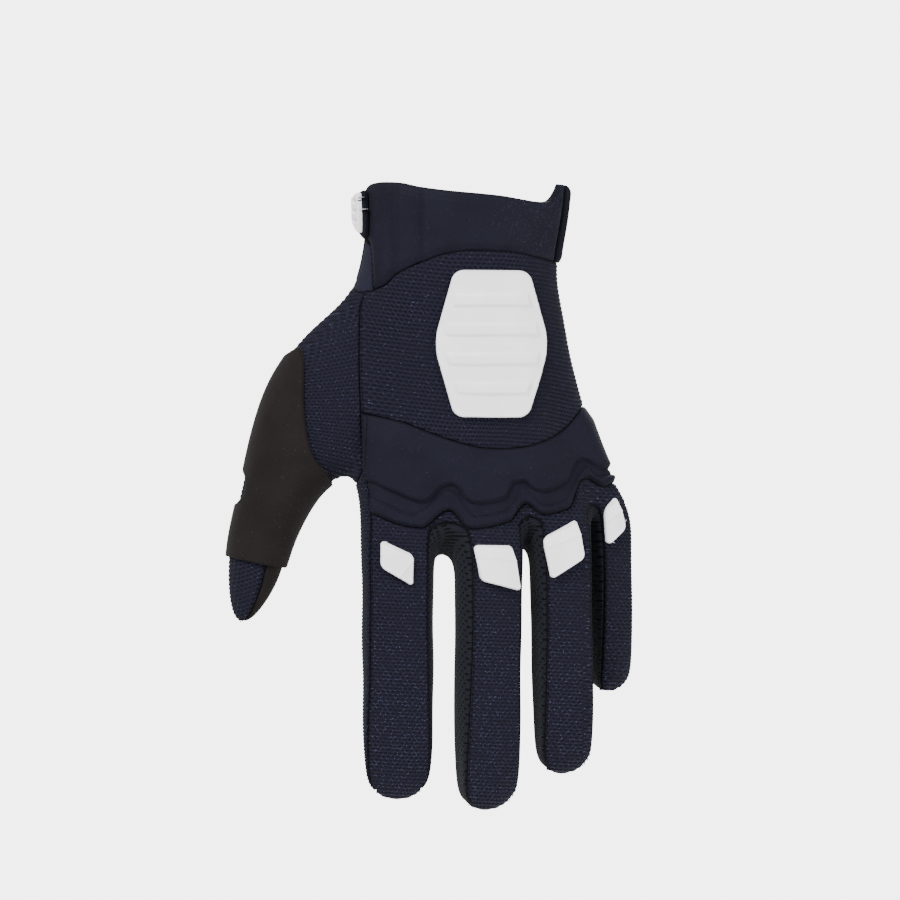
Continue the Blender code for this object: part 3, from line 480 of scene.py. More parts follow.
def hand_columns():
    """(finger, point of its ring) of each of the 26 points round the palm, thumb side first."""
    backs = [(i, k) for i in range(4) for k in (1, 2, 3)]
    fronts = [(i, k) for i in reversed(range(4)) for k in (5, 6, 7)]
    return [(0, 0)] + backs + [(3, 4)] + fronts


def hand_ring(ring, last):
    """One ring of the hand: an oval that grows into the row of finger roots."""
    half = len(hand_columns()) // 2
    step = (180 - 2 * SIDE_ANGLE) / (half - 2)
    points = []
    for k, root_point in enumerate(last):
        turn = k % half
        angle = 0 if turn == 0 else SIDE_ANGLE + (turn - 1) * step
        angle = math.radians(180 + angle + (180 if k >= half else 0))
        swell = (3 - math.cos(math.radians(SIDE_ANGLE))) / 2 if turn == 0 else 1
        oval_x = ring.shift * WRIST_WIDTH + ring.width / 2 * math.cos(angle) * swell
        oval_y = ring.depth / 2 * math.sin(angle)
        z = CUFF_RIM if ring.cuffs == 0 else -ring.cuffs * CUFF_HEIGHT
        points.append(Vector((
            oval_x + (root_point.x - oval_x) * ring.spread,
            oval_y + (root_point.y - oval_y) * ring.spread,
            z - ring.palms * PALM_LENGTH,
        )))
    return points


def thumb_point(across, drop):
    return Vector((PALM_EDGE_X - across * THUMB_REACH, 0, -CUFF_HEIGHT - drop * THUMB_DROP))


def thumb_ring(ring):
    """Eight points round the thumb, from its outer edge over the back to its inner edge."""
    outer, inner = thumb_point(ring.out_x, ring.out_z), thumb_point(ring.in_x, ring.in_z)
    centre = (outer + inner) / 2
    across = (outer - inner) / 2 * THUMB_SWELL
    centre.y = ring.centre_y * THUMB_DEPTH
    back = Vector((0, -ring.half_y * THUMB_DEPTH * THUMB_SWELL, 0))
    roll = math.radians(ring.roll)
    turns = [k * math.pi / 4 for k in range(8)]
    turns = [turn + roll * math.sin(turn) ** 2 for turn in turns]
    return [centre + across * math.cos(turn) + back * math.sin(turn) for turn in turns]


def hand_cage():
    """The coarse cage of the whole hand. Each face's material index says where it belongs."""
    bm = bmesh.new()
    crease = bm.edges.layers.float.new("crease_edge")

    def ring_of(points):
        return [bm.verts.new(p) for p in points]

    def face(corners, region):
        bm.faces.new(corners).material_index = region

    def band(upper, lower, regions):
        count = len(upper)
        for k, region in enumerate(regions):
            if region is not None:
                face((upper[k], lower[k], lower[(k + 1) % count], upper[(k + 1) % count]), region)

    roots = [ring_of(root_ring(i)) for i in range(4)]
    last = [roots[i][k] for i, k in hand_columns()]
    rows = [ring_of(hand_ring(ring, [v.co for v in last])) for ring in HAND_RINGS] + [last]
    bm.verts.remove(rows[THUMB_MID_RING][0])
    for r in range(len(rows) - 1):
        if r < THUMB_TOP_RING:
            sides = THUMB_SHEATH, THUMB_PALM
        elif r < THUMB_LOW_RING:
            sides = None, None
        else:
            sides = LEFT_SIDE, LEFT_SIDE
        band(rows[r], rows[r + 1], [sides[0]] + [BACK] * 12 + [FRONT] * 12 + [sides[1]])

    for i in range(4):
        sides = FINGER_SIDE + i, FINGER_SIDE + i + 1
        regions = [sides[0], FINGER_BACK + i, FINGER_BACK + i, sides[1],
                   sides[1], FINGER_FRONT + i, FINGER_FRONT + i, sides[0]]
        upper = roots[i]
        *rings, tip = finger_rings(i)
        for points in rings:
            lower = ring_of(points)
            band(upper, lower, regions)
            for k in (1, 3):
                bm.edges.get((upper[k], lower[k]))[crease] = CREASE
            upper = lower
        tip_vert = bm.verts.new(sum(tip, Vector()) / 8)
        for k in (0, 2, 4, 6):
            region = FINGER_BACK + i if k < 4 else FINGER_FRONT + i
            face((upper[k], tip_vert, upper[(k + 2) % 8], upper[k + 1]), region)
        if i < 3:
            a, b = roots[i], roots[i + 1]
            face((a[3], a[4], b[0], b[1]), sides[1])
            face((a[4], a[5], b[7], b[0]), sides[1])

    top, mid, low = rows[THUMB_TOP_RING], rows[THUMB_MID_RING], rows[THUMB_LOW_RING]
    upper = [top[0], top[1], mid[1], low[1], low[0], low[-1], mid[-1], top[-1]]
    for number, ring in enumerate(THUMB_RINGS):
        lower = ring_of(thumb_ring(ring))
        if number < 2:
            regions = [THUMB_SHEATH] * 4 + [THUMB_PALM] * 4
        else:
            regions = [THUMB_KNIT] * 2 + [THUMB_SUEDE] * 4 + [THUMB_KNIT] * 2
        count = len(upper)
        for k, region in enumerate(regions):
            face((upper[(k + 1) % count], upper[k], lower[k], lower[(k + 1) % count]), region)
        upper = lower
    tip = thumb_point(THUMB_TIP[0], THUMB_TIP[1])
    tip.y = THUMB_TIP[2] * THUMB_DEPTH
    tip_vert = bm.verts.new(tip)
    for k, region in zip((0, 2, 4, 6), (THUMB_KNIT, THUMB_SUEDE, THUMB_SUEDE, THUMB_KNIT)):
        face((upper[k], upper[k + 1], upper[(k + 2) % 8], tip_vert)[::-1], region)
    bmesh.ops.recalc_face_normals(bm, faces=bm.faces)
    mesh = bpy.data.meshes.new("hand_cage")
    bm.to_mesh(mesh)
    bm.free()
    return mesh


def unevenness(p):
    """How far worn cloth stands off its even form at each point."""
    x, y, z = (p / (9 * MM)).T
    slow = np.sin(0.9 * x + 1.3 * np.sin(0.7 * z)) * np.sin(0.8 * z + 0.6 * y + 1.1)
    quick = np.sin(1.9 * z + 0.7 * np.sin(1.1 * x) + 2.0) * np.sin(1.2 * x + 0.9 * y + 0.4)
    return UNEVEN * (slow + 0.6 * quick)


def smooth_hand(levels):
    """The cage with Subdivision Surface, as a bmesh of slightly uneven cloth."""
    cage = bpy.data.objects.new("hand_cage", hand_cage())
    bpy.context.scene.collection.objects.link(cage)
    for _ in range(REGION_COUNT):
        cage.data.materials.append(None)
    smooth = cage.modifiers.new("smooth", "SUBSURF")
    smooth.levels = smooth.render_levels = levels
    bpy.context.view_layer.update()
    bm = bmesh.new()
    bm.from_object(cage, bpy.context.evaluated_depsgraph_get())
    bpy.data.objects.remove(cage)
    places = np.array([v.co[:] for v in bm.verts])
    for v, rise in zip(bm.verts, unevenness(places)):
        v.co += v.normal * rise
    bm.normal_update()
    return bm


def faces_in(bm, regions, inside=None):
    """The faces of these regions whose middles inside accepts."""
    faces = [f for f in bm.faces if f.material_index in regions]
    if inside is None or not faces:
        return faces
    picked = inside(np.array([f.calc_center_median()[:] for f in faces]))
    return [f for f, chosen in zip(faces, picked) if chosen]


def verts_of(faces):
    return list(dict.fromkeys(v for f in faces for v in f.verts))


def edges_of(faces):
    return list(dict.fromkeys(e for f in faces for e in f.edges))


def split_edges(bm, edges):
    """Halves the edges on a smooth curve and joins the new points across the faces."""
    made = []
    for edge in edges:
        a, b = edge.verts
        way = b.co - a.co
        bulge = (b.normal * way.dot(b.normal) - a.normal * way.dot(a.normal)) / 8
        spot = (a.co + b.co) / 2 + bulge
        normal = (a.normal + b.normal).normalized()
        _, point = bmesh.utils.edge_split(edge, a, 0.5)
        point.co = spot
        point.normal = normal
        made.append(point)
    bmesh.ops.connect_verts(bm, verts=made)


def refine(bm, regions, inside, longest):
    """Halves the chosen faces' edges until none is longer than longest."""
    for _ in range(5):
        edges = [e for e in edges_of(faces_in(bm, regions, inside)) if e.calc_length() > longest]
        if not edges:
            return
        split_edges(bm, edges)


def cut_along(bm, regions, inside, field):
    """Splits the chosen faces where field is zero, so that a seam can run there."""
    faces = faces_in(bm, regions, inside)
    verts = verts_of(faces)
    if not verts:
        return
    value = dict(zip(verts, field(np.array([v.co[:] for v in verts])).tolist()))
    seam = {v for v, d in value.items() if abs(d) < SNAP}
    crossed = [f for f in faces if min(value[v] for v in f.verts) < 0 < max(value[v] for v in f.verts)]
    halves = bmesh.ops.triangulate(bm, faces=crossed)["faces"]
    for edge in edges_of(halves):
        a, b = edge.verts
        if a in seam or b in seam or value[a] * value[b] >= 0:
            continue
        share = value[a] / (value[a] - value[b])
        normal = a.normal.lerp(b.normal, share).normalized()
        _, new = bmesh.utils.edge_split(edge, a, share)
        new.normal = normal
        seam.add(new)
    bmesh.ops.connect_verts(bm, verts=list(seam))


# Seam lines, as fields over arrays of points

def cuff_seam_z(p):
    return np.where(p[:, 1] < 0, through(CUFF_SEAM_LINE, p[:, 0]), through(CUFF_SEAM_PALM_LINE, p[:, 0]))


def cuff_top_z(p):
    return np.where(p[:, 1] < 0, through(CUFF_TOP_LINE, p[:, 0]), through(CUFF_TOP_PALM_LINE, p[:, 0]))


def insert_side(p):
    return p[:, 0] - through(INSERT_LINE, -p[:, 2])


def binding_way(p):
    return p[:, 1] - BINDING_START * CUFF_DEPTH


def above(line):
    """A field: how far a point lies above a line of the back, measured square to it."""
    def field(p):
        reach = 0.5 * MM
        slope = (through(line, p[:, 0] + reach) - through(line, p[:, 0] - reach)) / (2 * reach)
        return (p[:, 2] - through(line, p[:, 0])) / np.sqrt(1 + slope**2)
    return field


def higher(line):
    return lambda p: p[:, 2] - through(line, p[:, 0])


PANEL_OF_REGION = {
    LEFT_SIDE: "index_side", FRONT: "palm", THUMB_PALM: "palm", THUMB_SHEATH: "thumb_gusset",
    THUMB_KNIT: "thumb_back", THUMB_SUEDE: "thumb_front", BACK: "finger_backs",
    FINGER_SIDE: "index_side", FINGER_SIDE + 1: "sidewall_index_middle",
    FINGER_SIDE + 2: "sidewall_middle_ring", FINGER_SIDE + 3: "sidewall_ring_little",
    FINGER_SIDE + 4: "little_side",
    **{FINGER_BACK + i: "finger_backs" for i in range(4)},
    **{FINGER_FRONT + i: "palm" for i in range(4)},
}


def panels_of(bm):
    """The faces of each panel, by its name."""
    faces = list(bm.faces)
    p = np.array([f.calc_center_median()[:] for f in faces])
    region = np.array([f.material_index for f in faces])
    names = np.array([PANEL_OF_REGION[r] for r in region.tolist()], dtype=object)
    back = region == BACK
    names[back & (higher(PAD_FOOT_LINE)(p) > 0)] = "knuckle_pad"
    names[back & (higher(PAD_TOP_LINE)(p) > 0)] = "back_panel"
    cuff = np.isin(region, PALM_REGIONS) & (p[:, 2] > cuff_seam_z(p))
    names[cuff] = "cuff_front"
    names[cuff & (p[:, 1] < 0)] = "cuff_insert"
    names[cuff & (p[:, 1] < 0) & (insert_side(p) > 0)] = "cuff_back"
    bound = (binding_way(p) > 0) & (binding_way(p) < BINDING_WIDTH) & (p[:, 0] > CUFF_WIDTH * SIDE_ZONE)
    names[cuff & bound] = "cuff_binding"
    panels = {}
    for face, name in zip(faces, names):
        panels.setdefault(name, []).append(face)
    return panels


def cut_hand(levels, relief):
    """The hand surface with its seams cut, finer where relief will be raised."""
    bm = smooth_hand(levels)

    def near_cuff(p):
        return p[:, 2] > -CUFF_HEIGHT * CUFF_ZONE

    def thumb_edge(p):
        return near_cuff(p) & (p[:, 1] < 0) & (p[:, 0] < -CUFF_WIDTH * SIDE_ZONE)

    def little_edge(p):
        return near_cuff(p) & (p[:, 0] > CUFF_WIDTH * SIDE_ZONE)

    def lower_back(p):
        return (p[:, 2] < down(PAD_ZONE[0])) & (p[:, 2] > down(PAD_ZONE[1]))

    def board(p):
        return near_cuff(p) & (p[:, 1] < 2 * MM) & (p[:, 2] > cuff_seam_z(p) - 2 * MM)

    def pad(p):
        return (higher(PAD_TOP_LINE)(p) < 2 * MM) & (higher(PAD_FOOT_LINE)(p) > -2 * MM)

    if relief:
        refine(bm, (BACK, LEFT_SIDE), board, RELIEF_EDGE)
        refine(bm, (BACK,), pad, RELIEF_EDGE)
    cut_along(bm, PALM_REGIONS, near_cuff, lambda p: p[:, 2] - cuff_top_z(p))
    spare = faces_in(bm, PALM_REGIONS, lambda p: near_cuff(p) & (p[:, 2] > cuff_top_z(p)))
    bmesh.ops.delete(bm, geom=spare, context="FACES")
    cut_along(bm, PALM_REGIONS, near_cuff, lambda p: p[:, 2] - cuff_seam_z(p))
    cut_along(bm, PALM_REGIONS, thumb_edge, insert_side)
    cut_along(bm, PALM_REGIONS, little_edge, binding_way)
    cut_along(bm, PALM_REGIONS, little_edge, lambda p: binding_way(p) - BINDING_WIDTH)
    cut_along(bm, (BACK,), None, higher(PAD_TOP_LINE))
    cut_along(bm, LOWER_BACK, lower_back, higher(PAD_FOOT_LINE))
    return bm


# Panels and what lies on them

def borders(faces):
    """The loops of the faces that no other of them shares."""
    chosen = set(faces)
    for face in faces:
        for loop in face.loops:
            if not any(other in chosen for other in loop.edge.link_faces if other is not face):
                yield loop


def inward_steps(faces):
    """For each vertex on the border of the faces, the way in across the surface."""
    steps = {}
    for loop in borders(faces):
        a, b = loop.vert, loop.link_loop_next.vert
        inward = loop.face.normal.cross(b.co - a.co).normalized()
        for v in (a, b):
            steps.setdefault(v, []).append(inward)
    moves = {}
    for v, ways in steps.items():
        total = sum(ways, Vector())
        total -= v.normal * total.dot(v.normal)
        size = total.length
        moves[v] = total / size * min(2.0, 2.0 / max(size, 0.5)) if size > 1e-6 else Vector()
    return moves


def border_distance(faces, places):
    """How far each place lies from the border of the faces."""
    points = []
    for loop in borders(faces):
        a, b = loop.vert.co, loop.link_loop_next.vert.co
        count = max(1, int((b - a).length / (0.15 * MM)))
        points += [a.lerp(b, k / count) for k in range(count)]
    tree = KDTree(len(points))
    for i, point in enumerate(points):
        tree.insert(point, i)
    tree.balance()
    return np.array([tree.find(place)[2] for place in places])


def rolled(distance, depth=None, width=None):
    """How far the cloth sinks near its seam, as a round edge."""
    depth = sizes().seam_depth if depth is None else depth
    width = sizes().seam_width if width is None else width
    inward = np.clip(1 - distance / width, 0, 1)
    return -depth * (1 - np.sqrt(1 - inward**2))


def point_layer(mesh, name, kind, values):
    layer = mesh.attributes.new(name, kind, "POINT")
    layer.data.foreach_set("vector" if kind == "FLOAT_VECTOR" else "value", values.astype(np.float32).ravel())


def wall(name, faces, low, high, material, weave=None, gap=SEAM_GAP / 2):
    """A closed wall that follows the faces, from low to high along their normals.

    low and high take the points and how far each lies from the border.
    """
    verts = verts_of(faces)
    number = {v: i for i, v in enumerate(verts)}
    moves = inward_steps(faces)
    zero = Vector()
    spots = np.array([v.co[:] for v in verts])
    normals = np.array([v.normal[:] for v in verts])
    steps = np.array([moves.get(v, zero)[:] for v in verts]) * gap
    distance = border_distance(faces, spots)
    outer = spots + steps + normals * np.reshape(high(spots, distance), (-1, 1))
    inner = spots + steps + normals * low
    count = len(verts)
    sides = [[number[v] for v in f.verts] for f in faces]
    lining = [[count + i for i in reversed(side)] for side in sides]
    rims = []
    for loop in borders(faces):
        a, b = number[loop.vert], number[loop.link_loop_next.vert]
        rims.append((b, a, count + a, count + b))
    mesh = bpy.data.meshes.new(f"worn_{name}")
    mesh.from_pydata(np.concatenate((outer, inner)).tolist(), [], sides + lining + rims)
    point_layer(mesh, RIM, "FLOAT", np.tile(distance, 2))
    point_layer(mesh, OUTER, "FLOAT", np.repeat((1.0, 0.0), count))
    if weave is not None:
        along, drop = weave(spots)
        flat = np.stack((along, drop, np.zeros(count)), 1)
        point_layer(mesh, WEAVE, "FLOAT_VECTOR", np.tile(flat, (2, 1)))
    mesh.materials.append(material)
    mesh.shade_smooth()
    mesh.set_sharp_from_angle(angle=math.radians(50))
    piece = bpy.data.objects.new(f"worn_{name}", mesh)
    bpy.context.scene.collection.objects.link(piece)
    return piece


def settle(piece, node, slot):
    """Rides the finished piece on the glove in the place of its solid."""
    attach(piece, "root")
    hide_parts(node)


def declare_cloth(faces):
    area = sum(f.calc_area() for f in faces)
    heights = [v.co.z for v in verts_of(faces)]


def patch_of(bm, regions, inside, longest):
    """A finer copy of some of the surface."""
    faces = faces_in(bm, regions, inside)
    patch = bmesh.new()
    copies = {v: patch.verts.new(v.co) for v in verts_of(faces)}
    for face in faces:
        patch.faces.new([copies[v] for v in face.verts]).material_index = face.material_index
    patch.normal_update()
    for v, copy in copies.items():
        copy.normal = v.normal
    for _ in range(4):
        edges = [e for e in patch.edges if e.calc_length() > longest]
        if not edges:
            break
        split_edges(patch, edges)
    return patch


def overlay(name, surface, regions, near, longest, field, low, high, material):
    """A piece that lies on the hand where field is above zero, and the area that it covers."""
    patch = patch_of(surface, regions, near, longest)
    cut_along(patch, regions, None, field)
    faces = faces_in(patch, regions, lambda p: field(p) > 0)
    piece = wall(name, faces, low, high, material, gap=0.0)
    area = sum(f.calc_area() for f in faces)
    patch.free()
    return piece, area


def rounded_outline(fields, radius):
    """One field for the space inside all of the fields, with its corners rounded."""
    def field(p):
        short = sum(np.maximum(0, radius - one(p)) ** 2 for one in fields)
        return radius - np.sqrt(short)
    return field


def half_plane(a, b):
    """A field above zero to the right of the line from a to b, both (x, z)."""
    ax, az, dx, dz = a[0], a[1], b[0] - a[0], b[1] - a[1]
    size = math.hypot(dx, dz)
    return lambda p: ((p[:, 0] - ax) * dz - (p[:, 2] - az) * dx) / size


def outline_fields(corners):
    """Fields for the sides of an outline whose corners run clockwise as seen from the front."""
    return [half_plane(a, b) for a, b in zip(corners, corners[1:] + corners[:1])]


# The weave's run on each panel: along a rib, and down across the ribs

def girth(p, centre_x, centre_y, half_x, half_y):
    """How far round an oval each point lies."""
    turns = np.linspace(-math.pi, math.pi, 181)
    ring = np.stack((half_x * np.cos(turns), half_y * np.sin(turns)), 1)
    run = np.concatenate(([0], np.cumsum(np.linalg.norm(np.diff(ring, axis=0), axis=1))))
    turn = np.arctan2((p[:, 1] - centre_y) / half_y, (p[:, 0] - centre_x) / half_x)
    return np.interp(turn, turns, run)


def palm_weave(p):
    round_hand = girth(p, 0.1 * WRIST_WIDTH, 0, 0.6 * WRIST_WIDTH, PALM_DEPTH / 2)
    return round_hand, through(RIB_LINE, p[:, 0]) - p[:, 2]


def finger_weave(p):
    """Round each point's own finger, with ribs that rise a little to the little finger's side."""
    edges = [(ROOTS[i][0].x + ROOTS[i + 1][0].x) / 2 for i in range(3)]
    which = np.searchsorted(edges, p[:, 0])
    along, drop = np.zeros(len(p)), np.zeros(len(p))
    for i, finger in enumerate(FINGERS):
        own = which == i
        root, side, back = ROOTS[i]
        across = (p[own] - np.array(root)) @ np.array(side)
        out = (p[own] - np.array(root)) @ np.array(back)
        flex = math.radians(finger.flex) / finger.length
        length = np.maximum(0, finger_top(i) - p[own, 2])
        out = out + 0.5 * flex * length**2
        radius = finger.width / 2
        along[own] = np.arctan2(across, np.maximum(out, 0) + 0.3 * radius) * radius + 0.1 * i
        drop[own] = -p[own, 2] - 0.05 * across - 0.03 * out
    return along, drop


def gusset_weave(p):
    x = p[:, 0] - PALM_EDGE_X
    crotch = down(0.75)
    low = step_up(-p[:, 2], -down(0.25), -crotch)
    tilt = 0.22 * (1 - low) - 0.25 * low
    return x + p[:, 1], -p[:, 2] + tilt * x


def thumb_weave(p):
    tilt = math.radians(22)
    across = p[:, 0] * math.cos(tilt) + p[:, 2] * math.sin(tilt)
    return across, p[:, 0] * math.sin(tilt) - p[:, 2] * math.cos(tilt) + 0.2 * p[:, 1]


def side_weave(p):
    return p[:, 1], -p[:, 2]


def web_weave(p):
    return p[:, 1] + 0.5 * p[:, 0], -p[:, 2]


# Node trees

class Tree:
    """Adds linked nodes to a node tree."""

    def __init__(self, tree):
        self.tree = tree

    def node(self, kind, inputs=(), **settings):
        made = self.tree.nodes.new(kind)
        for name, value in settings.items():
            setattr(made, name, value)
        for key, value in dict(inputs).items():
            if isinstance(value, bpy.types.NodeSocket):
                self.tree.links.new(value, made.inputs[key])
            else:
                made.inputs[key].default_value = value
        return made

    def math(self, operation, *values, clamp=False):
        return self.node("ShaderNodeMath", enumerate(values), operation=operation, use_clamp=clamp).outputs[0]

    def mix(self, factor, a, b, blend="MIX"):
        made = self.node("ShaderNodeMix", data_type="RGBA", blend_type=blend)
        for key, value in ((0, factor), (6, a), (7, b)):
            if isinstance(value, bpy.types.NodeSocket):
                self.tree.links.new(value, made.inputs[key])
            else:
                made.inputs[key].default_value = value
        return made.outputs[2]

    def span(self, value, low, high, to_low=0.0, to_high=1.0):
        inputs = {0: value, 1: low, 2: high, 3: to_low, 4: to_high}
        return self.node("ShaderNodeMapRange", inputs, interpolation_type="SMOOTHSTEP").outputs[0]


def group_of(kind, name, inputs, outputs):
    """A node group with its sockets: (tree, where its inputs come from, where its outputs go)."""
    group = bpy.data.node_groups.new(name, kind)
    for socket, socket_kind, default in inputs:
        made = group.interface.new_socket(name=socket, in_out="INPUT", socket_type=socket_kind)
        if default is not None:
            made.default_value = default
    for socket, socket_kind in outputs:
        group.interface.new_socket(name=socket, in_out="OUTPUT", socket_type=socket_kind)
    tree = Tree(group)
    start = tree.node("NodeGroupInput").outputs
    finish = tree.node("NodeGroupOutput").inputs
    return tree, start, finish


FLOAT = "NodeSocketFloat"
GEOMETRY = "NodeSocketGeometry"


def rib_group():
    """Rows of small waves: their height, a mask for painted shade in the grooves and painted highlight on the
    crowns, and a scatter of flecks.
    """
    tree, start, finish = group_of(
        "ShaderNodeTree", "rib_rows",
        (("Pitch", FLOAT, 1.4), ("Wave", FLOAT, 1.5), ("Flecks", FLOAT, 0.3)),
        (("Height", FLOAT), ("Shade", FLOAT), ("Fleck", FLOAT)))
    weave = tree.node("ShaderNodeAttribute", attribute_name=WEAVE).outputs["Vector"]
    scaled = tree.node("ShaderNodeVectorMath", {0: weave, 3: 1 / MM}, operation="SCALE").outputs[0]
    along, drop, _ = tree.node("ShaderNodeSeparateXYZ", {0: scaled}).outputs
    jitter = tree.node("ShaderNodeTexNoise", {"Vector": scaled, "Scale": 0.9, "Detail": 2.0}).outputs[0]
    jitter = tree.math("SUBTRACT", jitter, 0.5)
    row = tree.math("DIVIDE", drop, start["Pitch"])
    whole = tree.math("FLOOR", row)
    turn = tree.math("DIVIDE", along, start["Wave"])
    turn = tree.math("ADD", turn, tree.math("MULTIPLY", whole, 0.5))
    turn = tree.math("ADD", turn, tree.math("MULTIPLY", jitter, 0.5))
    wave = tree.math("SINE", tree.math("MULTIPLY", turn, 2 * math.pi))
    waved = tree.math("ADD", row, tree.math("MULTIPLY", wave, 0.17))
    waved = tree.math("ADD", waved, tree.math("MULTIPLY", jitter, 0.25))
    height = tree.math("COSINE", tree.math("MULTIPLY", waved, 2 * math.pi))
    height = tree.math("MULTIPLY_ADD", height, -0.5, 0.5)
    bead = tree.math("MULTIPLY_ADD", wave, 0.22, 0.78)
    threads = tree.node("ShaderNodeTexNoise", {"Vector": scaled, "Scale": 4.5, "Detail": 3.0}).outputs[0]
    relief = tree.math("MULTIPLY", height, bead)
    relief = tree.math("ADD", relief, tree.math("MULTIPLY", threads, 0.35))
    tree.tree.links.new(relief, finish["Height"])
    # Shade is 0 in the grooves and 1 on the crowns: the mask for painted shade and painted highlight
    tree.tree.links.new(tree.span(height, 0.05, 0.6), finish["Shade"])
    stretched = tree.node(
        "ShaderNodeVectorMath", {0: scaled, 1: (2.1, 3.2, 1.0)}, operation="MULTIPLY").outputs[0]
    cells = tree.node("ShaderNodeTexVoronoi", {"Vector": stretched, "Scale": 1.0})
    chance = tree.node("ShaderNodeSeparateColor", {0: cells.outputs["Color"]}).outputs[0]
    lit = tree.math("LESS_THAN", chance, start["Flecks"])
    spot = tree.span(cells.outputs["Distance"], 0.45, 0.15)
    fleck = tree.math("MULTIPLY", tree.math("MULTIPLY", lit, spot), tree.span(height, 0.3, 0.8))
    tree.tree.links.new(fleck, finish["Fleck"])
    return tree.tree


def grain_group():
    """Fine grain with a scatter of bright specks, on object coordinates."""
    tree, start, finish = group_of(
        "ShaderNodeTree", "fine_grain",
        (("Grain", FLOAT, 0.5), ("Specks", FLOAT, 0.02)),
        (("Height", FLOAT), ("Patch", FLOAT), ("Speck", FLOAT)))
    place = tree.node("ShaderNodeTexCoord").outputs["Object"]
    scaled = tree.node("ShaderNodeVectorMath", {0: place, 3: 1 / MM}, operation="SCALE").outputs[0]
    size = tree.math("DIVIDE", 1.0, start["Grain"])
    fine = tree.node("ShaderNodeTexNoise", {"Vector": scaled, "Scale": size, "Detail": 3.0}).outputs[0]
    slow = tree.node("ShaderNodeTexNoise", {"Vector": scaled, "Scale": 0.09, "Detail": 3.0}).outputs[0]
    cells = tree.node("ShaderNodeTexVoronoi", {"Vector": scaled, "Scale": 1.9})
    chance = tree.node("ShaderNodeSeparateColor", {0: cells.outputs["Color"]}).outputs[1]
    lit = tree.math("LESS_THAN", chance, start["Specks"])
    spot = tree.span(cells.outputs["Distance"], 0.34, 0.12)
    tree.tree.links.new(fine, finish["Height"])
    tree.tree.links.new(slow, finish["Patch"])
    tree.tree.links.new(tree.math("MULTIPLY", lit, spot), finish["Speck"])
    return tree.tree


def seam_group():
    """Falls off towards a panel's seams, a mask to darken them with painted shade where the rolled edge
    sinks.
    """
    tree, start, finish = group_of(
        "ShaderNodeTree", "seam_shade", (("Width", FLOAT, 1.0),), (("Shade", FLOAT),))
    rim = tree.node("ShaderNodeAttribute", attribute_name=RIM).outputs["Fac"]
    reach = tree.math("DIVIDE", tree.math("MULTIPLY", rim, 1 / MM), start["Width"])
    tree.tree.links.new(tree.span(reach, 0.0, 1.0, 0.35, 1.0), finish["Shade"])
    return tree.tree


GROUPS = {}


def place_group(tree, name, **inputs):
    """Places a shared node group in a material, with its own values."""
    makers = {"rib_rows": rib_group, "fine_grain": grain_group, "seam_shade": seam_group}
    if name not in GROUPS:
        GROUPS[name] = makers[name]()
    made = tree.node("ShaderNodeGroup", node_tree=GROUPS[name])
    for key, value in inputs.items():
        made.inputs[key].default_value = value
    return made.outputs


def fresh_material(name, base, roughness, sheen=0.0, specular=0.5):
    """A new material: (material, its tree, its shader)."""
    material = bpy.data.materials.new(name)
    material.use_nodes = True
    tree = Tree(material.node_tree)
    shader = material.node_tree.nodes["Principled BSDF"]
    shader.inputs["Base Color"].default_value = (*base, 1)
    shader.inputs["Roughness"].default_value = roughness
    shader.inputs["Specular IOR Level"].default_value = specular
    shader.inputs["Sheen Weight"].default_value = sheen
    shader.inputs["Sheen Roughness"].default_value = 0.45
    material.diffuse_color = (*base, 1)
    return material, tree, shader


def bump(tree, shader, height, distance, strength=1.0):
    made = tree.node("ShaderNodeBump", {"Height": height, "Distance": distance, "Strength": strength})
    tree.tree.links.new(made.outputs["Normal"], shader.inputs["Normal"])


def tint(rgb, share):
    return (*(c * share for c in rgb), 1)


def knit_material(name, pitch, flecks, low_flecks):
    """Ribbed knit. It has more flecks towards the lower halves of the fingers."""
    base = tuple(colours().knit)
    material, tree, shader = fresh_material(name, base, 0.85, sheen=0.02, specular=0.07)
    rows = place_group(tree, "rib_rows", Pitch=pitch / MM, Wave=sizes().rib_wave / MM, Flecks=flecks)
    place = tree.node("ShaderNodeTexCoord").outputs["Object"]
    height = tree.node("ShaderNodeSeparateXYZ", {0: place}).outputs[2]
    lower = tree.span(height, down(1.25), down(1.75), flecks, low_flecks)
    tree.tree.links.new(lower, rows[0].node.inputs["Flecks"])
    seam = place_group(tree, "seam_shade", Width=0.8)["Shade"]
    grain = place_group(tree, "fine_grain", Grain=6.0, Specks=0.0)
    # Painted shade in the grooves and painted highlight on the rib crowns, as dark and light copies of the
    # knit's colour
    body = tree.mix(rows["Shade"], tint(base, 0.30), tint(base, 1.45))
    body = tree.mix(grain["Patch"], body, tint(base, 1.0))
    body = tree.mix(tree.math("MULTIPLY", rows["Fleck"], 0.9), body, (*colours().fleck, 1))
    # Painted shade along the rolled seams
    body = tree.mix(seam, tint(base, 0.3), body)
    tree.tree.links.new(body, shader.inputs["Base Color"])
    bump(tree, shader, rows["Height"], 0.34 * MM)
    return material


def grained_material(name, base, roughness, grain, specks, sheen, relief, specular=0.07):
    """Foam-backed cloth, suede or webbing: fine grain, soft patches, specks and painted shade along the
    seams.
    """
    material, tree, shader = fresh_material(name, base, roughness, sheen, specular)
    parts = place_group(tree, "fine_grain", Grain=grain, Specks=specks)
    seam = place_group(tree, "seam_shade", Width=0.9)["Shade"]
    body = tree.mix(tree.span(parts["Patch"], 0.3, 0.7), tint(base, 0.82), tint(base, 1.2))
    body = tree.mix(tree.span(parts["Height"], 0.3, 0.7), tint(base, 0.8), body)
    body = tree.mix(parts["Speck"], body, tint(base, 4.5))
    # Painted shade along the rolled seams
    body = tree.mix(seam, tint(base, 0.4), body)
    tree.tree.links.new(body, shader.inputs["Base Color"])
    bump(tree, shader, parts["Height"], relief)
    return material


